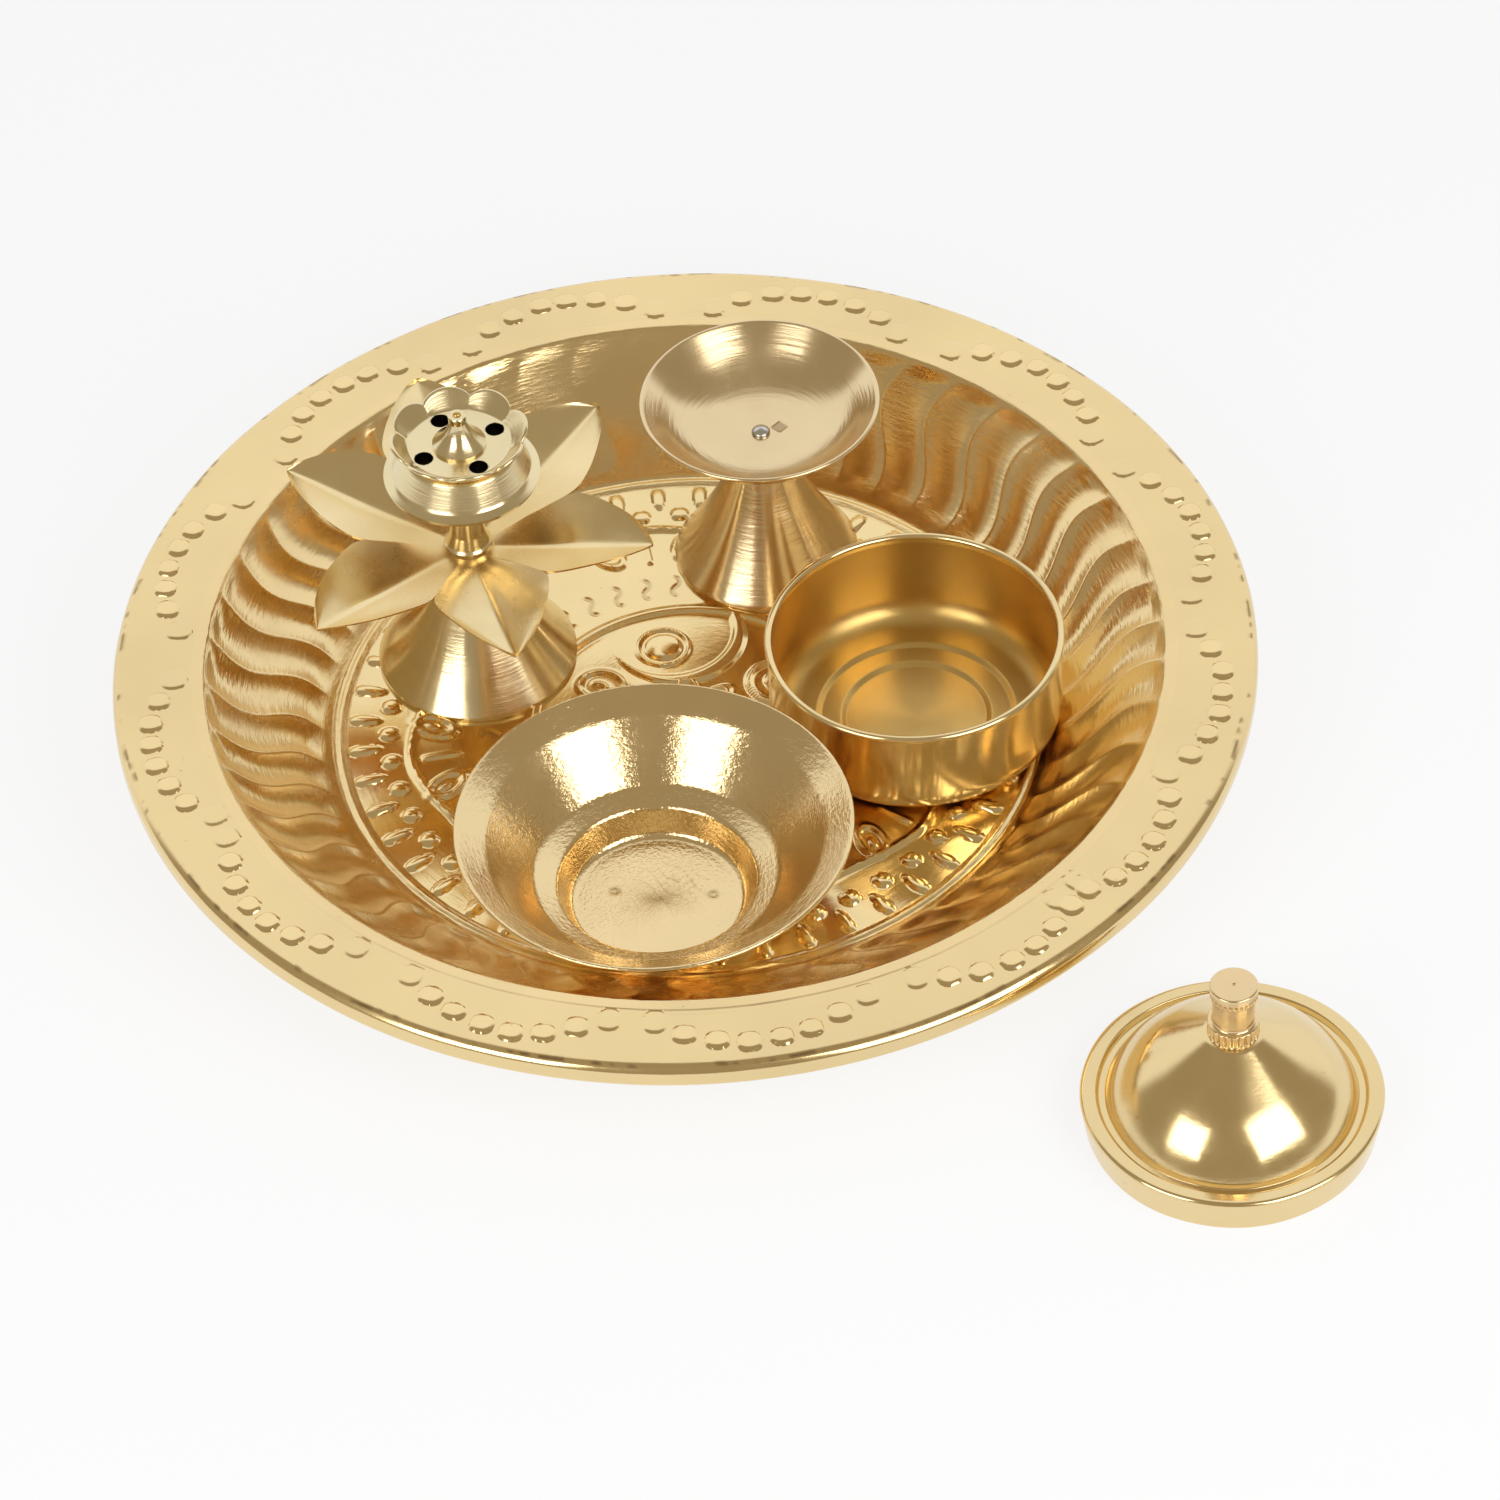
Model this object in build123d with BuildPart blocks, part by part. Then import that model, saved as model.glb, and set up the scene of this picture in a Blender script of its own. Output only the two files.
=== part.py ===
from build123d import *
from math import acos, asin, atan, cos, degrees, radians, sin, tan
import os

# A brass puja thali: a pressed plate that carries a katori bowl, a lidded pot whose lid lies on the
# table beside the plate, a small oil lamp on a cone, and a lotus incense stand.
# Millimetres, +Z up, origin at the plate's centre on the table.

os.makedirs("parts", exist_ok=True)

# Thali plate: pressed sheet, with a sloping wall round the floor and a flat rim with a turned-down hem
plate_sheet = 0.8
plate_well_depth = 18.3
plate_wall_run = 21.9
plate_rim_width = 16.0
plate_hem_drop = 3.4
plate_hem_roll = 0.75
plate_foot_bend = 2.5
plate_shoulder_bend = 0.8
plate_edge_bend = 1.4

# Rim beads: hand-punched festoons, so their centres are not evenly spaced around the rim (degrees)
festoon_centres = (162, 131, 103, 73.5, 44, 15, -13, -36, -55, -83.5, -111, -141, -167.5)
festoon_beads = 8
bead_radius = 2.0
bead_height = 1.0
bead_pitch = 5.4
festoon_inset = 5.1
festoon_rise = 5.5
bead_root = 0.3

# Vessels stand on the plate's floor in a ring: how far in from the floor's edge each foot stays, where
# the ring starts (degrees), and the gap in plan from each vessel, or from its petals, to the next
katori_edge_gap = 2.0
container_edge_gap = 1.4
diya_edge_gap = 1.2
incense_edge_gap = 3.2
katori_angle = -98.3
katori_container_gap = 2.9
container_diya_gap = 4.9
diya_petal_gap = 1.0
petal_katori_gap = 1.84
ring_halvings = 60

# Katori bowl
katori_sheet = 0.8
katori_radius = 34.0
katori_height = 19.8
katori_floor_radius = 15.2
katori_step_radius = 17.4
katori_step_height = 6.0
katori_shelf_radius = 21.3
katori_shelf_rise = 1.4
katori_lip_width = 4.6
katori_lip_rise = 2.8
katori_floor_bend = 1.6
katori_step_bend = 0.4
katori_shelf_bend = 2.0
katori_lip_bend = 3.2

# Pot of the lidded container
container_sheet = 0.7
container_inner_radius = 25.4
container_height = 21.0
container_lip_roll = 0.55
container_corner_bend = 4.5
container_floor_land = 3.0
container_rings = 2
container_ring_width = 4.4
container_ring_step = 0.5
container_ring_slope = 1.0
container_ring_bend = 0.2

# Lid: its tapered skirt plugs the pot's mouth, wedging half way up the skirt
lid_sheet = 0.7
lid_skirt_height = 6.6
lid_skirt_taper = 1.0
lid_fit_clearance = 0.2
lid_land_width = 2.8
lid_groove_width = 1.7
lid_groove_depth = 0.9
lid_dome_height = 14.6
lid_dome_start = 60
lid_dome_shoulder_radius = 14.6
lid_dome_shoulder_rise = 7.5
lid_crown_radius = 4.9
lid_edge_bend = 0.3
lid_groove_bend = 0.3
lid_trim = 1.0
lid_table_gap = 7.2
lid_angle = -48.8

# Lid knob, held by a screw from inside
knob_collar_radius = 4.4
knob_collar_height = 3.0
knob_waist_radius = 3.5
knob_waist_height = 4.8
knob_head_radius = 4.05
knob_head_height = 3.6
knob_edge = 0.3
knob_dot_radius = 0.4
knob_dot_depth = 0.3
screw_radius = 1.4
screw_length = 6.0
screw_head_radius = 2.6
screw_head_height = 1.2
screw_slot_width = 0.6
screw_slot_depth = 0.5
thread_clearance = 0.05

# Diya: a shallow bowl riveted to a hollow cone
diya_sheet = 0.8
diya_bowl_radius = 20.9
diya_bowl_depth = 8.3
diya_bowl_flat = 3.6
diya_cone_radius = 16.7
diya_cone_height = 28.4
diya_crown_radius = 3.4
rivet_radius = 1.0
rivet_head_radius = 1.7
rivet_head_height = 1.3
rivet_tail_radius = 1.9
rivet_tail_height = 0.7

# Incense stand: cone, petals, stem, bell and cup threaded on one rod between two nuts
incense_sheet = 0.8
incense_cone_radius = 17.9
incense_cone_height = 26.2
incense_crown_radius = 4.4
cone_waist_share = 0.5
cone_waist_pinch = 1.2
tie_rod_radius = 1.5
rod_hole_clearance = 0.2
rod_tail = 1.0
washer_side_gap = 0.3
washer_thickness = 0.6
base_nut_across_flats = 6.0
base_nut_sides = 6
base_nut_height = 2.4

petal_sheet = 0.6
petal_root_gap = 0.3
petal_root_lap = 0.8
petal_angles = (50, 104, 155, 223, 283, 347)
petal_reaches = (1.04, 1.07, 1, 1, 1, 0.94)
petal_tip_radius = 36.0
petal_join_radius = 16.6
petal_join_lap = 0.15
petal_middle_share = 0.55
petal_middle_half_width = 7.6
petal_lift = 9.0
petal_fold = 18.0

stem_foot_radius = 4.3
stem_foot_height = 0.8
stem_neck_radius = 3.1
stem_neck_height = 4.5
stem_length = 22.8

bell_radius = 14.25
bell_height = 5.8
bell_crown_radius = 9.9
bell_lip_width = 2.0
bell_lip_drop = 1.0
bell_crown_bend = 1.2
bell_lip_bend = 1.5

cup_sheet = 0.8
cup_floor_radius = 9.5
cup_radius = 11.0
cup_height = 3.6
cup_floor_bend = 0.8
cup_lobes = 8
cup_notch_radius = 1.3
stick_hole_radius = 1.65
stick_holes = 4
stick_circle_radius = 7.1
stick_first_angle = 28.0

finial_radius = 4.6
finial_edge = 0.6
finial_height = 6.8
finial_neck_radius = 1.5
finial_button_radius = 1.6
finial_button_height = 1.5
finial_dimple_radius = 0.7
finial_dimple_depth = 0.8
finial_thread_depth = 4.2

# Places worked out from the sizes above
seat = plate_sheet
rim_top = plate_sheet + plate_well_depth
container_radius = container_inner_radius + container_sheet + container_lip_roll / 2
container_rings_span = (container_rings - 1) * container_ring_width + container_ring_slope
container_flat_radius = container_inner_radius - container_corner_bend - container_floor_land
container_disc_radius = container_flat_radius - container_rings_span
container_foot_radius = container_disc_radius + container_rings * container_ring_width
lid_radius = container_inner_radius - lid_fit_clearance + lid_skirt_taper / 2

# The ring of vessels in turn: katori, pot, diya, incense stand and back to the katori
foot_radii = (
    katori_floor_radius + katori_sheet,
    container_foot_radius,
    diya_cone_radius,
    incense_cone_radius,
)
edge_gaps = (katori_edge_gap, container_edge_gap, diya_edge_gap, incense_edge_gap)
spacings = (
    katori_radius + container_radius + katori_container_gap,
    container_radius + diya_bowl_radius + container_diya_gap,
    diya_bowl_radius + petal_tip_radius + diya_petal_gap,
    petal_tip_radius + katori_radius + petal_katori_gap,
)


def turn_between(reach_a, reach_b, apart):
    """Angle at the plate's centre between two standing places that lie so far apart (law of cosines)."""
    return degrees(acos(max(-1, (reach_a**2 + reach_b**2 - apart**2) / (2 * reach_a * reach_b))))


def ring_reaches(floor_radius):
    """Distance from the centre of a floor of this radius to the axis of each vessel."""
    return [floor_radius - gap - foot for gap, foot in zip(edge_gaps, foot_radii)]


def ring_turns(floor_radius):
    """Angle from each vessel to the next on a floor of this radius."""
    reaches = ring_reaches(floor_radius)
    onward = reaches[1:] + reaches[:1]
    return [turn_between(here, there, apart) for here, there, apart in zip(reaches, onward, spacings)]


def fitted_floor_radius():
    """Floor radius at which the ring of vessels closes in one full turn, found by halving."""
    too_small = max(gap + foot for gap, foot in zip(edge_gaps, foot_radii))
    too_large = sum(spacings)
    for halving in range(ring_halvings):
        middle = (too_small + too_large) / 2
        if sum(ring_turns(middle)) > 360:
            too_small = middle
        else:
            too_large = middle
    return too_large


plate_floor_radius = fitted_floor_radius()
plate_well_radius = plate_floor_radius + plate_wall_run
plate_radius = plate_well_radius + plate_rim_width
katori_reach, container_reach, diya_reach, incense_reach = ring_reaches(plate_floor_radius)
to_container, to_diya, to_incense = ring_turns(plate_floor_radius)[:3]
container_angle = katori_angle + to_container
diya_angle = container_angle + to_diya
incense_angle = diya_angle + to_incense
lid_reach = plate_radius + lid_table_gap + lid_radius


def standing_place(reach, angle, height):
    """Point on the axis of a vessel that stands so far from the plate's centre, at this angle."""
    return (reach * cos(radians(angle)), reach * sin(radians(angle)), height)


def section(place):
    """Upright half-section plane of a turned piece: local x is the radius, local y the height."""
    return Plane(origin=place, x_dir=(1, 0, 0), z_dir=(0, -1, 0))


def upright_axis(place):
    """Axis of a turned piece."""
    return Axis(place, (0, 0, 1))


def above(place, height):
    """The same axis, this much higher."""
    return (place[0], place[1], place[2] + height)


katori_place = standing_place(katori_reach, katori_angle, seat)
container_place = standing_place(container_reach, container_angle, seat)
diya_place = standing_place(diya_reach, diya_angle, seat)
incense_place = standing_place(incense_reach, incense_angle, seat)
lid_place = standing_place(lid_reach, lid_angle, 0)


def drawn_bends(points, bends, thickness, sheet_side):
    """Radii for a line through the points: bends are the radii on the tight side of the sheet, so a
    corner that turns towards the sheet's side of the line is drawn wider by the sheet's thickness."""
    radii = []
    for before, corner, after, bend in zip(points, points[1:], points[2:], bends):
        inward = (corner[0] - before[0], corner[1] - before[1])
        onward = (after[0] - corner[0], after[1] - corner[1])
        turns_left = inward[0] * onward[1] - inward[1] * onward[0] > 0
        radii.append(bend + thickness if turns_left == (sheet_side == Side.LEFT) else bend)
    return radii


def sheet_section(points, bends, thickness):
    """Section of bent sheet: the line through the points, bent round each corner, thickened below it."""
    with BuildSketch(Plane.XY) as sheet:
        with BuildLine():
            FilletPolyline(*points, radius=drawn_bends(points, bends, thickness, Side.RIGHT))
            offset(amount=thickness, side=Side.RIGHT)
        make_face()
    return sheet.sketch


def cone_wall_width(base_radius, crown_radius, height, thickness):
    """Level width of a cone's sheet wall, which is wider than the sheet because the wall leans."""
    return thickness / cos(atan((base_radius - crown_radius) / height))


def cone_section(base_radius, crown_radius, height, thickness):
    """Half-section of a hollow cone of sheet with a slight waist, standing on its rim."""
    waist_height = cone_waist_share * height
    waist_radius = base_radius + (crown_radius - base_radius) * cone_waist_share - cone_waist_pinch
    wall = cone_wall_width(base_radius, crown_radius, height, thickness)
    with BuildSketch(Plane.XY) as cone:
        for shrink, top, mode in ((0, height, Mode.ADD), (wall, height - thickness, Mode.SUBTRACT)):
            with BuildLine() as outline:
                Polyline((crown_radius - shrink, top), (0, top), (0, 0), (base_radius - shrink, 0))
                ThreePointArc(
                    (base_radius - shrink, 0),
                    (waist_radius - shrink, waist_height),
                    (crown_radius - shrink, top),
                )
            make_face(outline.edges(), mode=mode)
    return cone.sketch


# Thali plate with its beads
bead_sphere = (bead_radius**2 + bead_height**2) / (2 * bead_height)
bead_points = []
for centre in festoon_centres:
    for index in range(festoon_beads):
        share = 2 * index / (festoon_beads - 1) - 1
        bead_reach = plate_well_radius + festoon_inset + festoon_rise * (1 - share**2)
        bead_turn = degrees(bead_pitch / (plate_well_radius + festoon_inset + festoon_rise))
        bead_angle = radians(centre + bead_turn * (index - (festoon_beads - 1) / 2))
        bead_points.append((bead_reach * cos(bead_angle), bead_reach * sin(bead_angle), rim_top))

with BuildPart() as thali_plate:
    with BuildSketch(Plane.XZ):
        add(
            sheet_section(
                (
                    (0, plate_sheet),
                    (plate_floor_radius, plate_sheet),
                    (plate_well_radius, rim_top),
                    (plate_radius, rim_top),
                    (plate_radius, rim_top - plate_hem_drop),
                ),
                (plate_foot_bend, plate_shoulder_bend, plate_edge_bend),
                plate_sheet,
            )
        )
        with Locations((plate_radius - plate_hem_roll, rim_top - plate_hem_drop)):
            Circle(plate_hem_roll)
    revolve(axis=Axis.Z)
    with Locations(*[(x, y, z + bead_height - bead_sphere) for x, y, z in bead_points]):
        Sphere(
            bead_sphere,
            arc_size1=degrees(asin((bead_sphere - bead_height - bead_root) / bead_sphere)),
            align=None,
        )
thali_plate.part.label = "thali_plate"
export_step(thali_plate.part, "parts/thali_plate.step")

# Katori bowl
with BuildPart() as katori_bowl:
    with BuildSketch(section(katori_place)) as katori_sketch:
        add(
            sheet_section(
                (
                    (0, katori_sheet),
                    (katori_floor_radius, katori_sheet),
                    (katori_step_radius, katori_step_height),
                    (katori_shelf_radius, katori_step_height + katori_shelf_rise),
                    (katori_radius - katori_lip_width, katori_height - katori_lip_rise),
                    (katori_radius, katori_height),
                ),
                (katori_floor_bend, katori_step_bend, katori_shelf_bend, katori_lip_bend),
                katori_sheet,
            )
        )
        fillet(katori_sketch.vertices().sort_by(Axis.X)[-2:], katori_sheet / 3)
    revolve(axis=upright_axis(katori_place))
katori_bowl.part.label = "katori_bowl"
export_step(katori_bowl.part, "parts/katori_bowl.step")

# Pot: a floor of shallow rings that step up from a middle disc, then the wall and its rolled lip
ring_points = [(0, container_sheet)]
for ring in range(container_rings):
    ring_radius = container_disc_radius + ring * container_ring_width
    ring_height = container_sheet + ring * container_ring_step
    ring_points.append((ring_radius, ring_height))
    ring_points.append((ring_radius + container_ring_slope, ring_height + container_ring_step))
ring_bends = [container_ring_bend] * (len(ring_points) - 1)

with BuildPart() as container_body:
    with BuildSketch(section(container_place)):
        add(
            sheet_section(
                (
                    *ring_points,
                    (container_inner_radius, ring_points[-1][1]),
                    (container_inner_radius, container_height),
                ),
                (*ring_bends, container_corner_bend),
                container_sheet,
            )
        )
        with Locations((container_radius - container_lip_roll, container_height - container_lip_roll)):
            Circle(container_lip_roll)
    revolve(axis=upright_axis(container_place))
container_body.part.label = "container_body"
export_step(container_body.part, "parts/container_body.step")

# Lid shell: skirt, flat land, groove and a dome that rounds into a cone up to a flat crown
land_radius = lid_radius - lid_land_width
dome_radius = land_radius - lid_groove_width
groove_floor = lid_skirt_height - lid_groove_depth
crown_height = lid_skirt_height + lid_dome_height

lid_points = (
    (lid_radius - lid_skirt_taper * (1 + lid_trim / lid_skirt_height), -lid_trim),
    (lid_radius, lid_skirt_height),
    (land_radius, lid_skirt_height),
    (land_radius - lid_groove_width / 3, groove_floor),
    (dome_radius + lid_groove_width / 3, groove_floor),
    (dome_radius, lid_skirt_height),
)
lid_bends = (lid_edge_bend, lid_groove_bend, lid_groove_bend, lid_groove_bend)

with BuildPart() as lid_shell:
    with BuildSketch(section(lid_place)):
        with BuildLine():
            FilletPolyline(*lid_points, radius=drawn_bends(lid_points, lid_bends, lid_sheet, Side.LEFT))
            dome = TangentArc(
                (dome_radius, lid_skirt_height),
                (lid_dome_shoulder_radius, lid_skirt_height + lid_dome_shoulder_rise),
                tangent=(-cos(radians(lid_dome_start)), sin(radians(lid_dome_start))),
            )
            neck = TangentArc(dome @ 1, (lid_crown_radius, crown_height), tangent=dome % 1)
            Line(neck @ 1, (0, crown_height))
            offset(amount=lid_sheet, side=Side.LEFT)
        make_face()
        with Locations((lid_radius, 0)):
            Rectangle(lid_radius, 2 * lid_trim, align=(Align.CENTER, Align.MAX), mode=Mode.SUBTRACT)
    revolve(axis=upright_axis(lid_place))
    with Locations(above(lid_place, crown_height)):
        Hole(screw_radius + rod_hole_clearance, depth=2 * lid_sheet)
lid_shell.part.label = "lid_shell"
export_step(lid_shell.part, "parts/lid_shell.step")

# Lid knob: collar, waist and head, with a blind threaded hole from below
knob_height = knob_collar_height + knob_waist_height + knob_head_height
knob_place = above(lid_place, crown_height)
screw_reach = screw_length - lid_sheet

with BuildPart() as lid_knob:
    with BuildSketch(section(knob_place)) as knob_sketch:
        with BuildLine():
            Polyline(
                (screw_radius + thread_clearance, 0),
                (knob_collar_radius, 0),
                (knob_collar_radius, knob_collar_height),
                (knob_waist_radius, knob_collar_height),
                (knob_waist_radius, knob_collar_height + knob_waist_height),
                (knob_head_radius, knob_collar_height + knob_waist_height),
                (knob_head_radius, knob_height),
                (knob_dot_radius, knob_height),
                (0, knob_height - knob_dot_depth),
                (0, screw_reach + thread_clearance),
                (screw_radius + thread_clearance, screw_reach + thread_clearance),
                close=True,
            )
        make_face()
        chamfer(knob_sketch.vertices().group_by(Axis.X)[-1], knob_edge)
        head_corners = knob_sketch.vertices().filter_by_position(Axis.X, knob_head_radius, knob_head_radius)
        chamfer(head_corners, knob_edge)
    revolve(axis=upright_axis(knob_place))
lid_knob.part.label = "lid_knob"
export_step(lid_knob.part, "parts/lid_knob.step")

# Screw inside the lid, head up against the underside of the crown
screw_place = above(knob_place, -lid_sheet)

with BuildPart() as lid_knob_screw:
    with BuildSketch(section(screw_place)):
        with Locations((0, -screw_head_height)):
            Rectangle(screw_head_radius, screw_head_height, align=(Align.MIN, Align.MIN))
        Rectangle(screw_radius, screw_length, align=(Align.MIN, Align.MIN))
    revolve(axis=upright_axis(screw_place))
    with Locations(above(screw_place, -screw_head_height)):
        Box(
            2 * screw_head_radius,
            screw_slot_width,
            screw_slot_depth,
            align=(Align.CENTER, Align.CENTER, Align.MIN),
            mode=Mode.SUBTRACT,
        )
lid_knob_screw.part.label = "lid_knob_screw"
export_step(lid_knob_screw.part, "parts/lid_knob_screw.step")

# Diya cone
with BuildPart() as diya_cone_stand:
    with BuildSketch(section(diya_place)):
        add(cone_section(diya_cone_radius, diya_crown_radius, diya_cone_height, diya_sheet))
    revolve(axis=upright_axis(diya_place))
    with Locations(above(diya_place, diya_cone_height)):
        Hole(rivet_radius + thread_clearance, depth=2 * diya_sheet)
diya_cone_stand.part.label = "diya_cone_stand"
export_step(diya_cone_stand.part, "parts/diya_cone_stand.step")

# Diya bowl: a small flat at the bottom, then one arc up to the rim
diya_bowl_place = above(diya_place, diya_cone_height)

with BuildPart() as diya_bowl:
    with BuildSketch(section(diya_bowl_place)) as diya_sketch:
        with BuildLine():
            Line((0, diya_sheet), (diya_bowl_flat, diya_sheet))
            TangentArc(
                (diya_bowl_flat, diya_sheet),
                (diya_bowl_radius, diya_sheet + diya_bowl_depth),
                tangent=(1, 0),
            )
            offset(amount=diya_sheet, side=Side.RIGHT)
        make_face()
        fillet(diya_sketch.vertices().sort_by(Axis.X)[-2:], diya_sheet / 3)
    revolve(axis=upright_axis(diya_bowl_place))
    with Locations(above(diya_bowl_place, diya_sheet)):
        Hole(rivet_radius + thread_clearance, depth=2 * diya_sheet)
diya_bowl.part.label = "diya_bowl"
export_step(diya_bowl.part, "parts/diya_bowl.step")

# Rivet: domed head in the bowl, shank through bowl and cone, flat tail under the cone's crown
rivet_place = above(diya_place, diya_cone_height - diya_sheet)
rivet_grip = 2 * diya_sheet

with BuildPart() as diya_rivet:
    with BuildSketch(section(rivet_place)):
        with BuildLine():
            Polyline(
                (0, rivet_grip + rivet_head_height),
                (0, -rivet_tail_height),
                (rivet_tail_radius, -rivet_tail_height),
                (rivet_tail_radius, 0),
                (rivet_radius, 0),
                (rivet_radius, rivet_grip),
                (rivet_head_radius, rivet_grip),
            )
            TangentArc(
                (0, rivet_grip + rivet_head_height),
                (rivet_head_radius, rivet_grip),
                tangent=(1, 0),
            )
        make_face()
    revolve(axis=upright_axis(rivet_place))
diya_rivet.part.label = "diya_rivet"
export_step(diya_rivet.part, "parts/diya_rivet.step")

# Incense stand, stacked up from the plate
rod_hole_radius = tie_rod_radius + rod_hole_clearance
crown_place = above(incense_place, incense_cone_height)
petal_place = crown_place
stem_place = above(petal_place, petal_sheet)
bell_place = above(stem_place, stem_length + incense_sheet - bell_height)
cup_place = above(stem_place, stem_length + incense_sheet)
finial_place = above(cup_place, cup_sheet)
washer_place = above(crown_place, -incense_sheet - washer_thickness)
nut_place = above(washer_place, -base_nut_height)
rod_place = above(nut_place, -rod_tail)
rod_length = finial_place[2] + finial_thread_depth - thread_clearance - rod_place[2]
incense_wall = cone_wall_width(incense_cone_radius, incense_crown_radius, incense_cone_height, incense_sheet)
washer_radius = incense_crown_radius - incense_wall - washer_side_gap

# Cone base
with BuildPart() as incense_cone_base:
    with BuildSketch(section(incense_place)):
        add(cone_section(incense_cone_radius, incense_crown_radius, incense_cone_height, incense_sheet))
    revolve(axis=upright_axis(incense_place))
    with Locations(crown_place):
        Hole(rod_hole_radius, depth=2 * incense_sheet)
incense_cone_base.part.label = "incense_cone_base"
export_step(incense_cone_base.part, "parts/incense_cone_base.step")

# Petals: each is two flat half leaves that meet along a keel, tipped up from the disc, and each half
# joins its neighbour's along the line midway between their keels, out to the joining radius
petal_root_radius = stem_foot_radius + petal_root_gap
petal_rise = sin(radians(petal_lift))
petal_run = cos(radians(petal_lift))

with BuildPart() as lotus_petal_disc:
    with BuildSketch(Plane(petal_place)):
        Circle(petal_root_radius + petal_root_lap)
    extrude(amount=petal_sheet)
    for number, petal_angle in enumerate(petal_angles):
        tip_run = (petal_tip_radius * petal_reaches[number] - petal_root_radius) / petal_run
        join_run = (petal_join_radius - petal_root_radius) / petal_run
        outward = Vector(cos(radians(petal_angle)), sin(radians(petal_angle)), 0)
        keel = outward * petal_run + Vector(0, 0, petal_rise)
        across = Vector(-outward.Y, outward.X, 0)
        lifted = keel.cross(across)
        for side in (1, -1):
            beside = petal_angles[(number + side) % len(petal_angles)]
            half_gap = tan(radians((beside - petal_angle) * side % 360 / 2))
            widening = half_gap / (cos(radians(petal_fold)) + half_gap * sin(radians(petal_fold)) * petal_rise)
            edge_way = across * side * cos(radians(petal_fold)) + lifted * sin(radians(petal_fold))
            leaf_plane = Plane(
                origin=Vector(petal_place) + outward * petal_root_radius,
                x_dir=keel,
                z_dir=keel.cross(edge_way),
            )
            with BuildSketch(leaf_plane):
                with BuildLine():
                    leaf_edge = Spline(
                        (join_run, widening * petal_join_radius + petal_join_lap),
                        (join_run + petal_middle_share * (tip_run - join_run), petal_middle_half_width),
                        (tip_run, 0),
                    )
                    Polyline(
                        leaf_edge @ 1,
                        (0, 0),
                        (0, widening * petal_root_radius + petal_join_lap),
                        leaf_edge @ 0,
                    )
                make_face()
            extrude(amount=petal_sheet, dir=tuple(lifted))
    with Locations(above(petal_place, petal_sheet)):
        Hole(rod_hole_radius)
lotus_petal_disc.part.label = "lotus_petal_disc"
export_step(lotus_petal_disc.part, "parts/lotus_petal_disc.step")

# Stem: a foot ring, a waisted flare and a plain neck up to the bell
with BuildPart() as incense_stem:
    with BuildSketch(section(stem_place)):
        with BuildLine():
            flare = TangentArc(
                (stem_neck_radius, stem_neck_height),
                (stem_foot_radius - stem_foot_height / 2, stem_foot_height),
                tangent=(0, -1),
            )
            Polyline(
                flare @ 1,
                (stem_foot_radius, stem_foot_height),
                (stem_foot_radius, 0),
                (rod_hole_radius, 0),
                (rod_hole_radius, stem_length),
                (stem_neck_radius, stem_length),
                flare @ 0,
            )
        make_face()
    revolve(axis=upright_axis(stem_place))
incense_stem.part.label = "incense_stem"
export_step(incense_stem.part, "parts/incense_stem.step")

# Bell: a flat crown drilled together with the cup, then a flared skirt
with BuildPart() as incense_bell:
    with BuildSketch(section(bell_place)) as bell_sketch:
        add(
            sheet_section(
                (
                    (0, bell_height),
                    (bell_crown_radius, bell_height),
                    (bell_radius - bell_lip_width, bell_lip_drop),
                    (bell_radius, 0),
                ),
                (bell_crown_bend, bell_lip_bend),
                incense_sheet,
            )
        )
        fillet(bell_sketch.vertices().sort_by(Axis.X)[-2:], incense_sheet / 3)
    revolve(axis=upright_axis(bell_place))
    with Locations(above(bell_place, bell_height)):
        Hole(rod_hole_radius, depth=2 * incense_sheet)
        with PolarLocations(stick_circle_radius, stick_holes, start_angle=stick_first_angle):
            Hole(stick_hole_radius, depth=2 * incense_sheet)
incense_bell.part.label = "incense_bell"
export_step(incense_bell.part, "parts/incense_bell.step")

# Flower cup: a flat floor with the stick holes and a flared wall notched into lobes
with BuildPart() as incense_flower_cup:
    with BuildSketch(section(cup_place)):
        add(
            sheet_section(
                ((0, cup_sheet), (cup_floor_radius, cup_sheet), (cup_radius, cup_height)),
                (cup_floor_bend,),
                cup_sheet,
            )
        )
    revolve(axis=upright_axis(cup_place))
    with BuildSketch(Plane(above(cup_place, cup_sheet + cup_floor_bend))):
        with PolarLocations(cup_radius + cup_notch_radius / 2, cup_lobes):
            Circle(cup_notch_radius)
    extrude(amount=2 * cup_height, mode=Mode.SUBTRACT)
    with Locations(above(cup_place, cup_sheet)):
        Hole(rod_hole_radius, depth=2 * cup_sheet)
        with PolarLocations(stick_circle_radius, stick_holes, start_angle=stick_first_angle):
            Hole(stick_hole_radius, depth=2 * cup_sheet)
incense_flower_cup.part.label = "incense_flower_cup"
export_step(incense_flower_cup.part, "parts/incense_flower_cup.step")

# Finial nut: a hollowed cone with a small button, screwed on the rod
with BuildPart() as incense_finial_nut:
    with BuildSketch(section(finial_place)):
        with BuildLine():
            flank = TangentArc(
                (finial_neck_radius, finial_height - finial_button_height),
                (finial_radius, finial_edge),
                tangent=(0, -1),
            )
            Polyline(
                flank @ 1,
                (finial_radius, 0),
                (tie_rod_radius + thread_clearance, 0),
                (tie_rod_radius + thread_clearance, finial_thread_depth),
                (0, finial_thread_depth),
                (0, finial_height - finial_dimple_depth),
                (finial_dimple_radius, finial_height - finial_dimple_depth),
                (finial_dimple_radius, finial_height),
                (finial_button_radius, finial_height),
                (finial_button_radius, finial_height - finial_button_height),
                flank @ 0,
            )
        make_face()
    revolve(axis=upright_axis(finial_place))
incense_finial_nut.part.label = "incense_finial_nut"
export_step(incense_finial_nut.part, "parts/incense_finial_nut.step")

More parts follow.
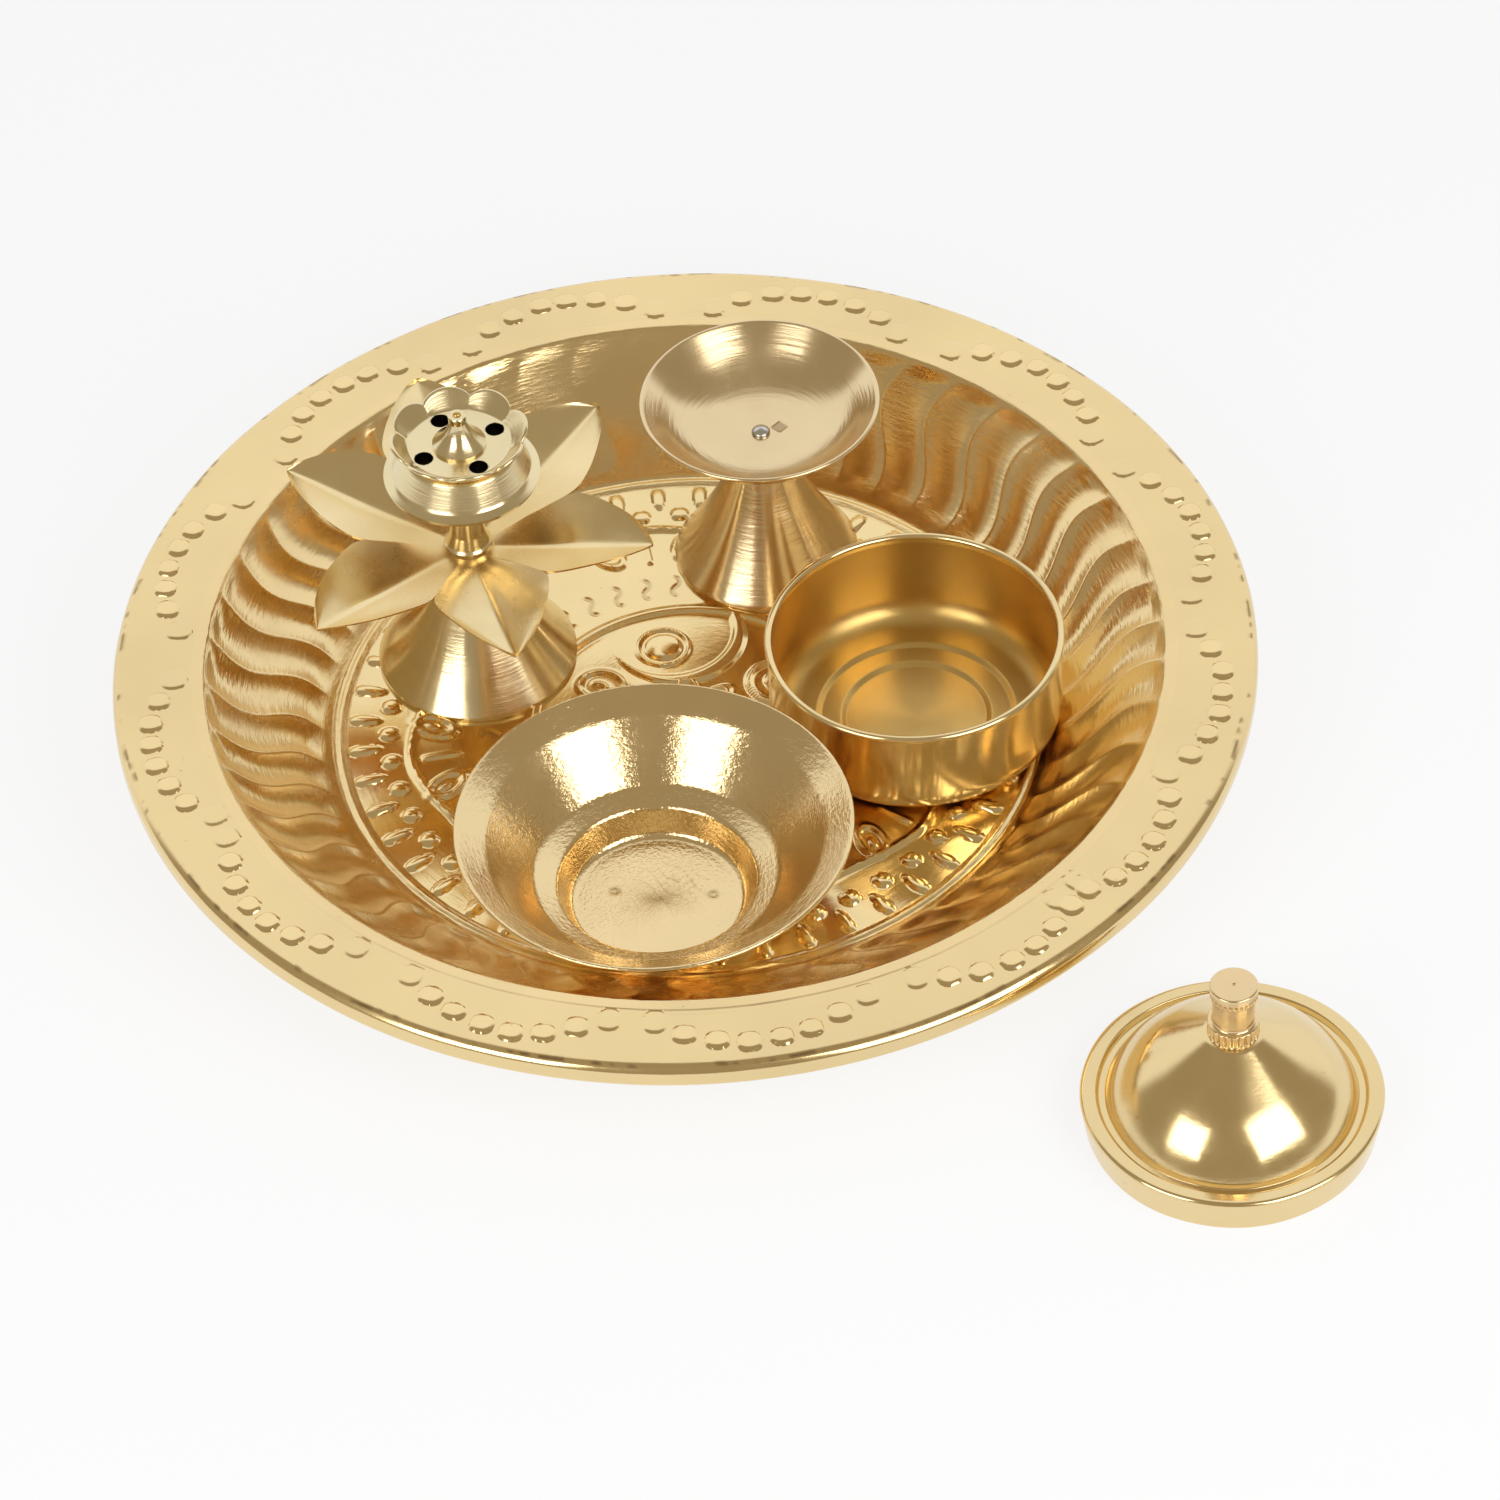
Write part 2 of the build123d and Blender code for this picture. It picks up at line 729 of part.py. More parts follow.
# Rod, washer and nut inside the cone
with BuildPart() as incense_tie_rod:
    with BuildSketch(Plane(rod_place)):
        Circle(tie_rod_radius)
    extrude(amount=rod_length)
incense_tie_rod.part.label = "incense_tie_rod"
export_step(incense_tie_rod.part, "parts/incense_tie_rod.step")

with BuildPart() as incense_base_washer:
    with BuildSketch(Plane(washer_place)):
        Circle(washer_radius)
        Circle(rod_hole_radius, mode=Mode.SUBTRACT)
    extrude(amount=washer_thickness)
incense_base_washer.part.label = "incense_base_washer"
export_step(incense_base_washer.part, "parts/incense_base_washer.step")

with BuildPart() as incense_base_nut:
    with BuildSketch(Plane(nut_place)):
        RegularPolygon(base_nut_across_flats / 2, base_nut_sides, major_radius=False)
        Circle(tie_rod_radius + thread_clearance, mode=Mode.SUBTRACT)
    extrude(amount=base_nut_height)
incense_base_nut.part.label = "incense_base_nut"
export_step(incense_base_nut.part, "parts/incense_base_nut.step")
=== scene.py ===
from math import atan2, ceil, cos, pi, radians, sin, tan

import bpy
import numpy as np
from bpy.props import FloatProperty, FloatVectorProperty, IntProperty, PointerProperty
from mathutils import Matrix, Vector


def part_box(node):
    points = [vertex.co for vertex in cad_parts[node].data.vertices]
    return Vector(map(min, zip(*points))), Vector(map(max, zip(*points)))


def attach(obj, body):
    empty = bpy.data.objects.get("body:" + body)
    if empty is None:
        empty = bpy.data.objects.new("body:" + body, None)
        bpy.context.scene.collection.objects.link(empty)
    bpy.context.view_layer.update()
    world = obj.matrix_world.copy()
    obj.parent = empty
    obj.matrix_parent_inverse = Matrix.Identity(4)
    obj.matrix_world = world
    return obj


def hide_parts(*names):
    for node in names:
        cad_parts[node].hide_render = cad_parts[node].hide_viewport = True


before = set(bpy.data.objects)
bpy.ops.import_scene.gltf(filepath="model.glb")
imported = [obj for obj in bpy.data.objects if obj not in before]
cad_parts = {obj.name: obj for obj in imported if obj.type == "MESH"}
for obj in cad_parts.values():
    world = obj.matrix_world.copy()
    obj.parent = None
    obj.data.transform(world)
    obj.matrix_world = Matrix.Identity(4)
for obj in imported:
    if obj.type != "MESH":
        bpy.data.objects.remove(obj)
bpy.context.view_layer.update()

bl_info = {
    "name": "Puja Thali",
    "version": (1, 0, 0),
    "blender": (4, 5, 0),
    "location": "View3D > Sidebar > Thali",
    "description": "Dresses the solid frame of a brass puja thali with pressed, spun and turned pieces",
    "category": "Object",
}

MM = 0.001
FULL_TURN = 2 * pi


def standing(node):
    """Foot of a round piece, from its solid: x and y of its axis and its lowest height, in millimetres."""
    low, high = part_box(node)
    return np.array([(low.x + high.x) / 2, (low.y + high.y) / 2, low.z]) / MM


def reach(node):
    """Radius and height of a round piece, from its solid, in millimetres."""
    low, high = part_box(node)
    return (high.x - low.x) / 2 / MM, (high.z - low.z) / MM


# Settings that a user would change


def length(title, text, millimetres):
    """A length setting, given here in millimetres and kept in metres."""
    return FloatProperty(
        name=title,
        description=text,
        default=millimetres * MM,
        precision=5,
        unit="LENGTH",
        subtype="DISTANCE",
    )


def factor(title, text, value):
    """A setting for a share between 0 and 1."""
    return FloatProperty(name=title, description=text, default=value, subtype="FACTOR")


def angle_of(title, text, degrees):
    """An angle setting, given here in degrees and kept in radians."""
    return FloatProperty(name=title, description=text, default=radians(degrees), subtype="ANGLE")


def tint(title, text, colour):
    """A colour setting."""
    return FloatVectorProperty(
        name=title, description=text, default=colour, size=3, min=0, max=1, subtype="COLOR"
    )


BRASS = (0.88, 0.68, 0.355)
PALE_BRASS = (0.83, 0.70, 0.43)
STEEL = (0.66, 0.65, 0.63)
TARNISH = (0.16, 0.085, 0.028)
STEEL_TARNISH = (0.16, 0.14, 0.12)
# Soot for dirt specks on the incense stand, and the black of painted shade on the walls of its stick holes
SOOT_AND_HOLE_SHADE = (0.016, 0.013, 0.013)
# Amber for dirt specks on the pot and the petals, for painted shade inside the pot, and for painted
# reflection near the petals' hub
AMBER_SHADE_AND_DIRT = (0.62, 0.40, 0.105)

# Use of each finish, its clean colour, its stains, the blur of its reflections and how brushed it is
SHEENS = {
    "plate_brass": ("Polished sheet", (0.90, 0.705, 0.37), TARNISH, 0.14, 0.0),
    "wall_brass": ("Combed sheet of the wall", BRASS, TARNISH, 0.21, 0.0),
    "katori_brass": ("Satin spun sheet", (0.86, 0.67, 0.37), TARNISH, 0.15, 0.0),
    "pot_brass": ("Polished drawn sheet", (0.88, 0.70, 0.38), AMBER_SHADE_AND_DIRT, 0.18, 0.65),
    "lid_brass": ("Mirror-polished sheet", (0.84, 0.66, 0.35), TARNISH, 0.16, 0.35),
    "knob_brass": ("Turned bar", (0.85, 0.65, 0.37), TARNISH, 0.19, 0.0),
    "diya_brass": ("Pale spun sheet", (0.83, 0.66, 0.40), TARNISH, 0.21, 0.5),
    "incense_brass": ("Pale turned brass", PALE_BRASS, SOOT_AND_HOLE_SHADE, 0.20, 0.5),
    "petal_brass": ("Matt stamped sheet", (0.89, 0.72, 0.40), AMBER_SHADE_AND_DIRT, 0.21, 0.0),
    "fastener_steel": ("Rivet and hidden fasteners", STEEL, STEEL_TARNISH, 0.22, 0.0),
}

# Pitch, depth and strokes to a turn of its turning lines, and the depths of its grain and hammer waves
TOOL_MARKS = {
    "plate_brass": (1.0, 0.022, 60, 0.0010, 0.012),
    "wall_brass": (0.7, 0.075, 130, 0.0012, 0.02),
    "katori_brass": (0.60, 0.085, 130, 0.0200, 0.03),
    "pot_brass": (0.9, 0.016, 10, 0.0010, 0.03),
    "lid_brass": (0.9, 0.012, 30, 0.0040, 0.05),
    "knob_brass": (0.3, 0.006, 4, 0.0008, 0.0),
    "diya_brass": (0.7, 0.050, 9, 0.0012, 0.01),
    "incense_brass": (0.4, 0.026, 6, 0.0008, 0.01),
    "petal_brass": (1.4, 0.0, 6, 0.0020, 0.06),
    "fastener_steel": (0.35, 0.003, 4, 0.0012, 0.0),
}


def finish_settings(name):
    """Settings class of one metal finish, with the defaults from its two rows."""
    use, colour, tarnish, roughness, brushed = SHEENS[name]
    line_pitch, line_depth, strokes, grain_depth, wobble_depth = TOOL_MARKS[name]
    fields = {
        "colour": tint("Colour", "Colour of the clean metal", colour),
        # On the pot and the petals the tarnish colour also paints shade and amber reflection, and on the
        # incense stand the shade in the stick holes
        "tarnish": tint("Tarnish", "Colour of stains and of dirt in corners", tarnish),
        "roughness": factor("Roughness", "Blur of the reflections", roughness),
        "brushed": factor("Brushed", "Stretch of the blur across the turning lines", brushed),
        "line_pitch": length("Line pitch", "Distance between the lines left by turning", line_pitch),
        "line_depth": length("Line depth", "Depth of the lines left by turning", line_depth),
        "strokes": FloatProperty(
            name="Strokes", description="Strokes to a full turn of each line", default=strokes
        ),
        "grain_depth": length("Grain depth", "Depth of the fine grain", grain_depth),
        "wobble_depth": length("Wobble depth", "Depth of the broad hammer waves", wobble_depth),
    }
    title = "Thali" + name.title().replace("_", "")
    return type(title, (bpy.types.PropertyGroup,), {"__doc__": use, "__annotations__": fields})


FINISHES = {name: finish_settings(name) for name in SHEENS}


class ThaliPlateSettings(bpy.types.PropertyGroup):
    """Sizes of the pressed pattern of the plate."""

    flutes: IntProperty(name="Flutes", description="Flutes round the wall", default=50, min=8)
    flute_depth: length("Flute depth", "Depth of the flutes, pressed outwards", 0.7)
    flute_swing: angle_of("Flute swing", "Swing of each S-shaped flute to either side", 1.75)
    bead_height: length("Bead height", "Height of the beads punched into the rim", 0.55)
    relief: length("Relief", "Height of the pressed lines and dots on the floor", 0.7)
    rim_sway: length("Rim sway", "How far the hand-pressed rim leaves its plane", 0.3)


class ThaliStageSettings(bpy.types.PropertyGroup):
    """Camera and light of the stage."""

    elevation: angle_of("Elevation", "Height of the view over the table", 45)
    roll: angle_of("Roll", "Tilt of the camera about its view", -3)
    distance: length("Distance", "Depth of the rim's centre in front of the camera", 1200)
    lens: FloatProperty(name="Lens", description="Focal length for a 36 mm sensor", default=162.72)
    softbox_level: FloatProperty(
        name="Softbox level", description="Brightness of the softboxes", default=3.4
    )
    backdrop: tint("Backdrop", "Colour of the pale studio behind the set", (1.0, 1.0, 1.0))
    dark_side: tint("Dark side", "Colour of the studio in front of the set", (0.40, 0.337, 0.242))


class ThaliSettings(bpy.types.PropertyGroup):
    """All settings of the thali: the plate's pattern, the stage, and each finish."""

    plate: PointerProperty(type=ThaliPlateSettings, name="Plate", description="Pattern of the plate")
    stage: PointerProperty(type=ThaliStageSettings, name="Stage", description="Camera and light")


for finish, kind in FINISHES.items():
    ThaliSettings.__annotations__[finish] = PointerProperty(
        type=kind, name=finish.replace("_", " ").capitalize(), description=SHEENS[finish][0]
    )


def settings():
    """The thali's settings in this file."""
    return bpy.context.scene.thali


# Profiles in the plane of radius and height, in millimetres


def smoothstep(low, high, value):
    """0 below low, 1 above high, and a smooth cubic rise between them."""
    share = np.clip((value - low) / (high - low), 0, 1)
    return share * share * (3 - 2 * share)


def waves(angle, terms):
    """Sum of sine waves round a piece, each given as its height, its waves to a turn and its phase."""
    return sum(height * np.sin(count * angle + phase) for height, count, phase in terms)


def straight(start, end, step):
    """Points from start up to, but not at, end."""
    count = max(1, ceil(np.linalg.norm(end - start) / step))
    return start + np.linspace(0, 1, count, endpoint=False)[:, None] * (end - start)


def rounded_line(corners, bends, step):
    """Line through the corners with an arc of the given bend at each inner corner: the arc starts and
    ends at bend times the tangent of half the turn from its corner."""
    corners = np.array(corners, float)
    runs = []
    at = corners[0]
    for before, corner, after, bend in zip(corners, corners[1:], corners[2:], bends):
        into = (corner - before) / np.linalg.norm(corner - before)
        out = (after - corner) / np.linalg.norm(after - corner)
        turn = atan2(into[0] * out[1] - into[1] * out[0], into @ out)
        cut = bend * tan(abs(turn) / 2)
        start = corner - cut * into
        side = np.sign(turn) * np.array([-into[1], into[0]])
        count = max(5, ceil(bend * abs(turn) / step))
        swing = np.linspace(0, abs(turn), count, endpoint=False)[:, None]
        runs.append(straight(at, start, step))
        runs.append(start + bend * (side * (1 - np.cos(swing)) + into * np.sin(swing)))
        at = corner + cut * out
    runs.append(straight(at, corners[-1], step))
    runs.append(corners[-1:])
    return np.vstack(runs)


def line_normals(line):
    """Unit normals to the left of a line, which is the upper or inner side of a sheet drawn outwards."""
    along = np.gradient(line, axis=0)
    along /= np.linalg.norm(along, axis=1)[:, None]
    return np.stack([-along[:, 1], along[:, 0]], 1)


def half_round(start, end, count=7):
    """Points of the half circle that swings clockwise from start to end, without its ends."""
    middle = (start + end) / 2
    spoke = start - middle
    swing = np.linspace(0, pi, count + 2)[1:-1, None]
    across = np.array([spoke[1], -spoke[0]])
    return middle + spoke * np.cos(swing) + across * np.sin(swing)


def sheet_profile(line, thickness, edge=None):
    """Section of a sheet: its upper line from the axis to the rim, the edge, and the line set off below
    by the thickness, back to the axis. The edge is a half circle unless points are given."""
    under = line - thickness * line_normals(line)
    under[0, 0] = line[0, 0]
    if edge is None:
        edge = half_round(line[-1], under[-1])
    return np.vstack([line, edge, under[::-1]])


def arc_through(start, middle, end, count):
    """Curve through three points as a quadratic in its share of the way."""
    share = np.linspace(0, 1, count)[:, None]
    start, middle, end = (np.array(point, float) for point in (start, middle, end))
    control = 2 * middle - (start + end) / 2
    return (1 - share) ** 2 * start + 2 * share * (1 - share) * control + share**2 * end


def distance_along(profile):
    """Distance of each point from the start of a profile, in millimetres."""
    steps = np.linalg.norm(np.diff(profile, axis=0), axis=1)
    return np.concatenate([[0], np.cumsum(steps)])


# Skins: closed surfaces over a grid of rings


# Sides of each turned piece
SIDES = {
    "katori": 288,
    "pot": 288,
    "lid": 288,
    "knob": 384,
    "diya_lamp_bowl": 288,
    "diya_cone": 256,
    "rivet": 64,
    "incense_cone": 256,
    "petal_disc": 96,
    "stem": 128,
    "bell": 224,
    "flower_cup": 256,
    "stick_rods": 40,
    "finial": 96,
}
CREASE = radians(34)


def round_angles(sides):
    """Angles of the sides of a round piece."""
    return np.linspace(0, FULL_TURN, sides, endpoint=False)


def flat(radius, angle):
    """Position in plan: x and y of a radius turned by an angle."""
    return radius * np.cos(angle), radius * np.sin(angle)


def round_grid(radius, height, angle, axis):
    """Rings about an axis: x and y are the radius turned by the angle, z is the height above the foot."""
    radius, height, angle = np.broadcast_arrays(radius, height, angle)
    x, y = flat(radius, angle)
    return np.stack([axis[0] + x, axis[1] + y, axis[2] + height], -1)


def skin(grid, along, stain_and_shade=None, loop=False):
    """Closed skin over rings of points. Quads join each ring to the next; a looped grid also joins the
    last ring to the first, and in any other the first and last ring are drawn together to one point each.
    Each corner keeps its share of the turn and its distance along the profile as surface coordinates."""
    rows, sides = grid.shape[:2]
    stain_and_shade = np.zeros((rows, sides)) if stain_and_shade is None else np.broadcast_to(stain_and_shade, (rows, sides))
    along = np.broadcast_to(np.reshape(along, (rows, 1)), (rows, sides))
    rings = slice(None) if loop else slice(1, -1)
    points = grid[rings].reshape(-1, 3)
    marks = stain_and_shade[rings].ravel()
    count = rows if loop else rows - 2
    ring = np.arange(count if loop else count - 1)[:, None]
    onward = (ring + 1) % count
    side = np.arange(sides)[None, :]
    beside = (side + 1) % sides
    quads = np.stack(
        [ring * sides + side, onward * sides + side, onward * sides + beside, ring * sides + beside], -1
    ).reshape(-1, 4)
    turn = np.broadcast_to(side / sides, (len(ring), sides))
    here = along[rings][ring[:, 0]]
    there = along[rings][onward[:, 0]]
    near = [np.stack([turn, here], -1), np.stack([turn, there], -1)]
    far = [np.stack([turn + 1 / sides, there], -1), np.stack([turn + 1 / sides, here], -1)]
    quad_marks = np.stack(near + far, 2).reshape(-1, 4, 2)
    fans = np.zeros((0, 3), int)
    fan_marks = np.zeros((0, 3, 2))
    if not loop:
        points = np.vstack([points, grid[0].mean(0), grid[-1].mean(0)])
        marks = np.concatenate([marks, [stain_and_shade[0].mean(), stain_and_shade[-1].mean()]])
        first = np.full(sides, len(points) - 2)
        base = (count - 1) * sides
        side, beside = side[0], beside[0]
        fans = np.vstack(
            [np.stack([first, side, beside], 1), np.stack([first + 1, base + beside, base + side], 1)]
        )
        low, high = side / sides, (side + 1) / sides
        start_fan = np.stack([(low + high) / 2, along[0], low, along[1], high, along[1]], 1)
        end_fan = np.stack([(low + high) / 2, along[-1], high, along[-2], low, along[-2]], 1)
        fan_marks = np.vstack([start_fan, end_fan]).reshape(-1, 3, 2)
    return {"points": points, "stain_and_shade": marks, "quads": quads, "fans": fans, "uv": (quad_marks, fan_marks)}


def turned(profile, sides, axis, shape=None, stain_and_shade=None):
    """Skin of a turned piece: the profile swept round its axis, after shape has changed the radius and
    the height at each angle. Its stain is a value, a value for each ring, or a function like shape."""
    along = distance_along(profile)
    angle = round_angles(sides)[None, :]
    radius = np.broadcast_to(profile[:, :1], (len(profile), sides))
    height = np.broadcast_to(profile[:, 1:], (len(profile), sides))
    marks = stain_and_shade(radius, height, angle) if callable(stain_and_shade) else stain_and_shade
    if shape is not None:
        radius, height = shape(radius, height, angle)
    return skin(round_grid(radius, height, angle, axis), along, marks)


def add_piece(name, skins, material, body, slot, *nodes):
    """Mesh object of one or more skins: smooth but for real corners, with surface coordinates and stains,
    riding on its body and standing for its solids."""
    starts = np.cumsum([0] + [len(part["points"]) for part in skins])
    faces = []
    marks = []
    for part, start in zip(skins, starts):
        faces += (part["quads"] + start).tolist() + (part["fans"] + start).tolist()
        marks += [part["uv"][0].reshape(-1, 2), part["uv"][1].reshape(-1, 2)]
    mesh = bpy.data.meshes.new(name)
    points = np.vstack([part["points"] for part in skins]) * MM
    mesh.from_pydata(points.tolist(), [], faces)
    layer = mesh.uv_layers.new(name="turning")
    layer.uv.foreach_set("vector", np.vstack(marks).astype(np.float32).ravel())
    stain_and_shade = mesh.attributes.new("stain_and_shade", "FLOAT", "POINT")
    stained = np.concatenate([part["stain_and_shade"] for part in skins])
    stain_and_shade.data.foreach_set("value", stained.astype(np.float32))
    finish_mesh(mesh, material)
    piece = bpy.data.objects.new(name, mesh)
    bpy.context.scene.collection.objects.link(piece)
    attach(piece, body)
    if nodes:
        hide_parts(*nodes)
    return piece


def add_turned(name, profile, body, slot, node, shape=None, stain_and_shade=None, finish=None):
    """Turned piece on the axis and foot of its solid, in the finish of its slot unless one is named."""
    part = turned(profile, SIDES[name], standing(node), shape, stain_and_shade)
    return add_piece(name, [part], metal_finish(finish or slot), body, slot, node)


def finish_mesh(mesh, material):
    """Smooth shading that breaks at real corners, and one material."""
    mesh.polygons.foreach_set("use_smooth", np.ones(len(mesh.polygons), bool))
    mesh.set_sharp_from_angle(angle=CREASE)
    mesh.materials.clear()
    mesh.materials.append(material)
    mesh.update()


# Metal finishes


# Waves to a metre of each soft noise
SMUDGE_WAVES = 75.0
CLOUD_WAVES = 28.0
SPECK_WAVES = 900.0
GRAIN_WAVES = 2600.0
WOBBLE_WAVES = 55.0

CLOUD_SHADE = 0.92
SPECK_DIRT = 0.55
SMUDGE_BLUR = (0.72, 1.45)
STAIN_BLUR = 0.2


def feed(tree, socket, value):
    """Links another node's output to a socket, or sets the socket to a plain value."""
    if isinstance(value, bpy.types.NodeSocket):
        tree.links.new(value, socket)
    else:
        socket.default_value = value


def add_node(tree, kind, inputs=None, **options):
    """Shader node with its options set and its inputs linked or given a value."""
    made = tree.nodes.new(kind)
    for key, value in options.items():
        setattr(made, key, value)
    for key, value in (inputs or {}).items():
        feed(tree, made.inputs[key], value)
    return made


def noise(tree, vector, scale, detail=3.0, roughness=0.55):
    """Soft noise between 0 and 1 on a position in metres; scale is in waves per metre."""
    inputs = {"Vector": vector, "Scale": scale, "Detail": detail, "Roughness": roughness}
    return add_node(tree, "ShaderNodeTexNoise", inputs, noise_dimensions="3D").outputs["Fac"]


def spread(tree, value, low, high, new_low, new_high):
    """Value carried from one range to another, held at the ends."""
    inputs = {"Value": value, "From Min": low, "From Max": high, "To Min": new_low, "To Max": new_high}
    return add_node(tree, "ShaderNodeMapRange", inputs, clamp=True).outputs["Result"]


def reckon(tree, operation, first, second):
    """Sum, product or other arithmetic of two values."""
    made = add_node(tree, "ShaderNodeMath", {0: first, 1: second}, operation=operation)
    return made.outputs["Value"]


def blend_colours(tree, share, first, second):
    """Colour between two colours."""
    made = add_node(tree, "ShaderNodeMix", data_type="RGBA")
    inputs = (("Factor", "VALUE", share), ("A", "RGBA", first), ("B", "RGBA", second))
    for name, kind, value in inputs:
        feed(tree, next(s for s in made.inputs if s.name == name and s.type == kind), value)
    return next(s for s in made.outputs if s.type == "RGBA")


def opaque(colour):
    """Colour with full alpha."""
    return (*colour, 1.0)


def turning_lines(tree, turning, look):
    """Position for noise that runs in strokes round a turned piece and closes at its seam: the cosine
    and sine of the turn, scaled to the strokes, and the distance along the profile in line pitches."""
    parts = add_node(tree, "ShaderNodeSeparateXYZ", {"Vector": turning}).outputs
    turn = reckon(tree, "MULTIPLY", parts["X"], FULL_TURN)
    way_x = reckon(tree, "MULTIPLY", reckon(tree, "COSINE", turn, 0.0), look.strokes / FULL_TURN)
    way_y = reckon(tree, "MULTIPLY", reckon(tree, "SINE", turn, 0.0), look.strokes / FULL_TURN)
    way_z = reckon(tree, "MULTIPLY", parts["Y"], MM / look.line_pitch)
    way = {"X": way_x, "Y": way_y, "Z": way_z}
    return add_node(tree, "ShaderNodeCombineXYZ", way).outputs["Vector"]


def metal_finish(name):
    """Metal with turning lines along the profile, fine grain, broad hammer waves, smudges that blur the
    reflection, specks of tarnish, and the piece's own stains."""
    title = f"{name}_finish"
    if title in bpy.data.materials:
        return bpy.data.materials[title]
    look = getattr(settings(), name)
    material = bpy.data.materials.new(title)
    material.use_nodes = True
    tree = material.node_tree
    tree.nodes.clear()
    place = add_node(tree, "ShaderNodeTexCoord").outputs["Object"]
    turning = add_node(tree, "ShaderNodeUVMap", uv_map="turning").outputs["UV"]
    smudge = noise(tree, place, SMUDGE_WAVES, detail=5.0, roughness=0.65)
    cloud = noise(tree, place, CLOUD_WAVES)
    speck = noise(tree, place, SPECK_WAVES, detail=2.0)

    # Stains from the mesh, which inside the pot and in the stick holes are painted shade, and near the
    # petals' hub painted reflection
    stain_and_shade = add_node(tree, "ShaderNodeAttribute", attribute_name="stain_and_shade").outputs["Fac"]
    specks = spread(tree, speck, 0.70, 0.78, 0.0, SPECK_DIRT)
    dirt = reckon(tree, "MULTIPLY", specks, spread(tree, smudge, 0.5, 0.68, 0.0, 1.0))
    dark = reckon(tree, "MAXIMUM", stain_and_shade, dirt)
    shade = opaque([part * CLOUD_SHADE for part in look.colour])
    clean = blend_colours(tree, spread(tree, cloud, 0.35, 0.7, 0.0, 1.0), opaque(look.colour), shade)
    colour = blend_colours(tree, dark, clean, opaque(look.tarnish))
    least, most = (look.roughness * part for part in SMUDGE_BLUR)
    blur = spread(tree, smudge, 0.38, 0.70, least, most)
    blur = reckon(tree, "ADD", blur, reckon(tree, "MULTIPLY", dark, STAIN_BLUR))

    lines = noise(tree, turning_lines(tree, turning, look), 1.0, detail=2.0, roughness=0.6)
    grain = noise(tree, place, GRAIN_WAVES, detail=2.0, roughness=0.6)
    wobble = noise(tree, place, WOBBLE_WAVES, detail=1.0)
    relief = {"Strength": 1.0}
    depths = ((wobble, look.wobble_depth), (lines, look.line_depth), (grain, look.grain_depth))
    for height, depth in depths:
        bump = add_node(tree, "ShaderNodeBump", {**relief, "Height": height, "Distance": depth})
        relief["Normal"] = bump.outputs["Normal"]
    tangent = add_node(tree, "ShaderNodeTangent", direction_type="UV_MAP", uv_map="turning")
    shader = add_node(
        tree,
        "ShaderNodeBsdfPrincipled",
        {
            "Base Color": colour,
            "Metallic": 1.0,
            "Roughness": blur,
            "Normal": relief["Normal"],
            "Anisotropic": look.brushed,
            "Anisotropic Rotation": 0.25,
            "Tangent": tangent.outputs["Tangent"],
        },
    )
    output = add_node(tree, "ShaderNodeOutputMaterial")
    tree.links.new(shader.outputs["BSDF"], output.inputs["Surface"])
    return material


# Plate


PLATE_SHEET = 0.8
WELL_DEPTH = 18.3
WALL_RUN = 21.9
RIM_WIDTH = 16.0
HEM_DROP = 3.4
HEM_ROLL = 0.75
PLATE_BENDS = (2.5, 1.5, 2.0)
MEDALLION_RADIUS = 30.0
BORDER_INSET = 2.6
SHOULDER_REACH = 1.9
HEM_REACH = 2.9
SWAY_WAVES = ((1, 2, 0.6), (0.7, 3, 2.1), (0.45, 7, 1.0), (0.3, 13, 0.4))

# Step along the line, sides, and rows of the upper face to each row of the lower one
PLATE_GRIDS = {
    "plate_medallion": (0.37, 960, 6),
    "plate_border": (0.4, 1060, 6),
    "plate_wall": (0.55, 1150, 4),
    "plate_rim": (0.28, 1960, 8),
    "plate_hem": (0.47, 1400, 3),
}

RAYS = 40
RAY_OFFSET = radians(2)
RAY_START = 32.0
RAY_LENGTH = 5.2
RAY_SWING = 0.8
RAY_DEPTH = 0.35
RAY_DIRT = 0.3
LOBES = 8
LOBE_OFFSET = radians(8)
SCALLOP_RADIUS = 50.2
SCALLOP_DIP = 2.6
LEAF_RADIUS = 45.4
LEAF_OFFSET = radians(9.5)
LEAF_TILT = radians(24)
DOTS = 48
DOT_RADIUS = 53.6
DROP_RADIUS = 58.0
EDGE_INSET = 1.2

RING_RADIUS = 28.2
LOTUS_PETALS = 8
LOTUS_RADIUS = 6.4
# Circles of the crescent and its bead, as x, y and radius
MOON_BEAD = (-4.0, 18.6, 3.6)
MOON_BEAD_LINE = (-4.0, 18.6, 4.6)
MOON_OUTSIDE = (-1.0, 21.0, 12.3)
MOON_HOLLOW = (-2.6, 22.6, 11.2)
SCROLL_TURNS = 1.55
# Eye at the right, first bearing in degrees, size, sense of turn, height and half width of each scroll
SCROLLS = (
    ((16.2, 9.0), 90, 6.2, 1, 0.75, 0.62),
    ((15.0, -9.5), 250, 7.0, -1, 0.75, 0.62),
    ((5.2, -19.0), 60, 4.6, -1, 0.7, 0.6),
)

FLUTE_SWINGS = 1.05
FLUTE_LEAN = radians(1.4)
FLUTE_WAVES = ((0.5, 5, 1.3), (0.35, 11, 0))
WORN_BEARING = radians(88)
WORN_SPREAD = radians(32)
WORN_SHARE = 0.85

FESTOON_CENTRES = (162, 131, 103, 73.5, 44, 15, -13, -36, -55, -83.5, -111, -141, -167.5)
FESTOON_BEADS = 8
FESTOON_INSET = 5.1
FESTOON_RISE = 5.5
BEAD_PITCH = 5.4
BEAD_WIDTH = 2.15
BEAD_LENGTH = 2.05
BEAD_SEED = 11
BEAD_SPAN = 0.045
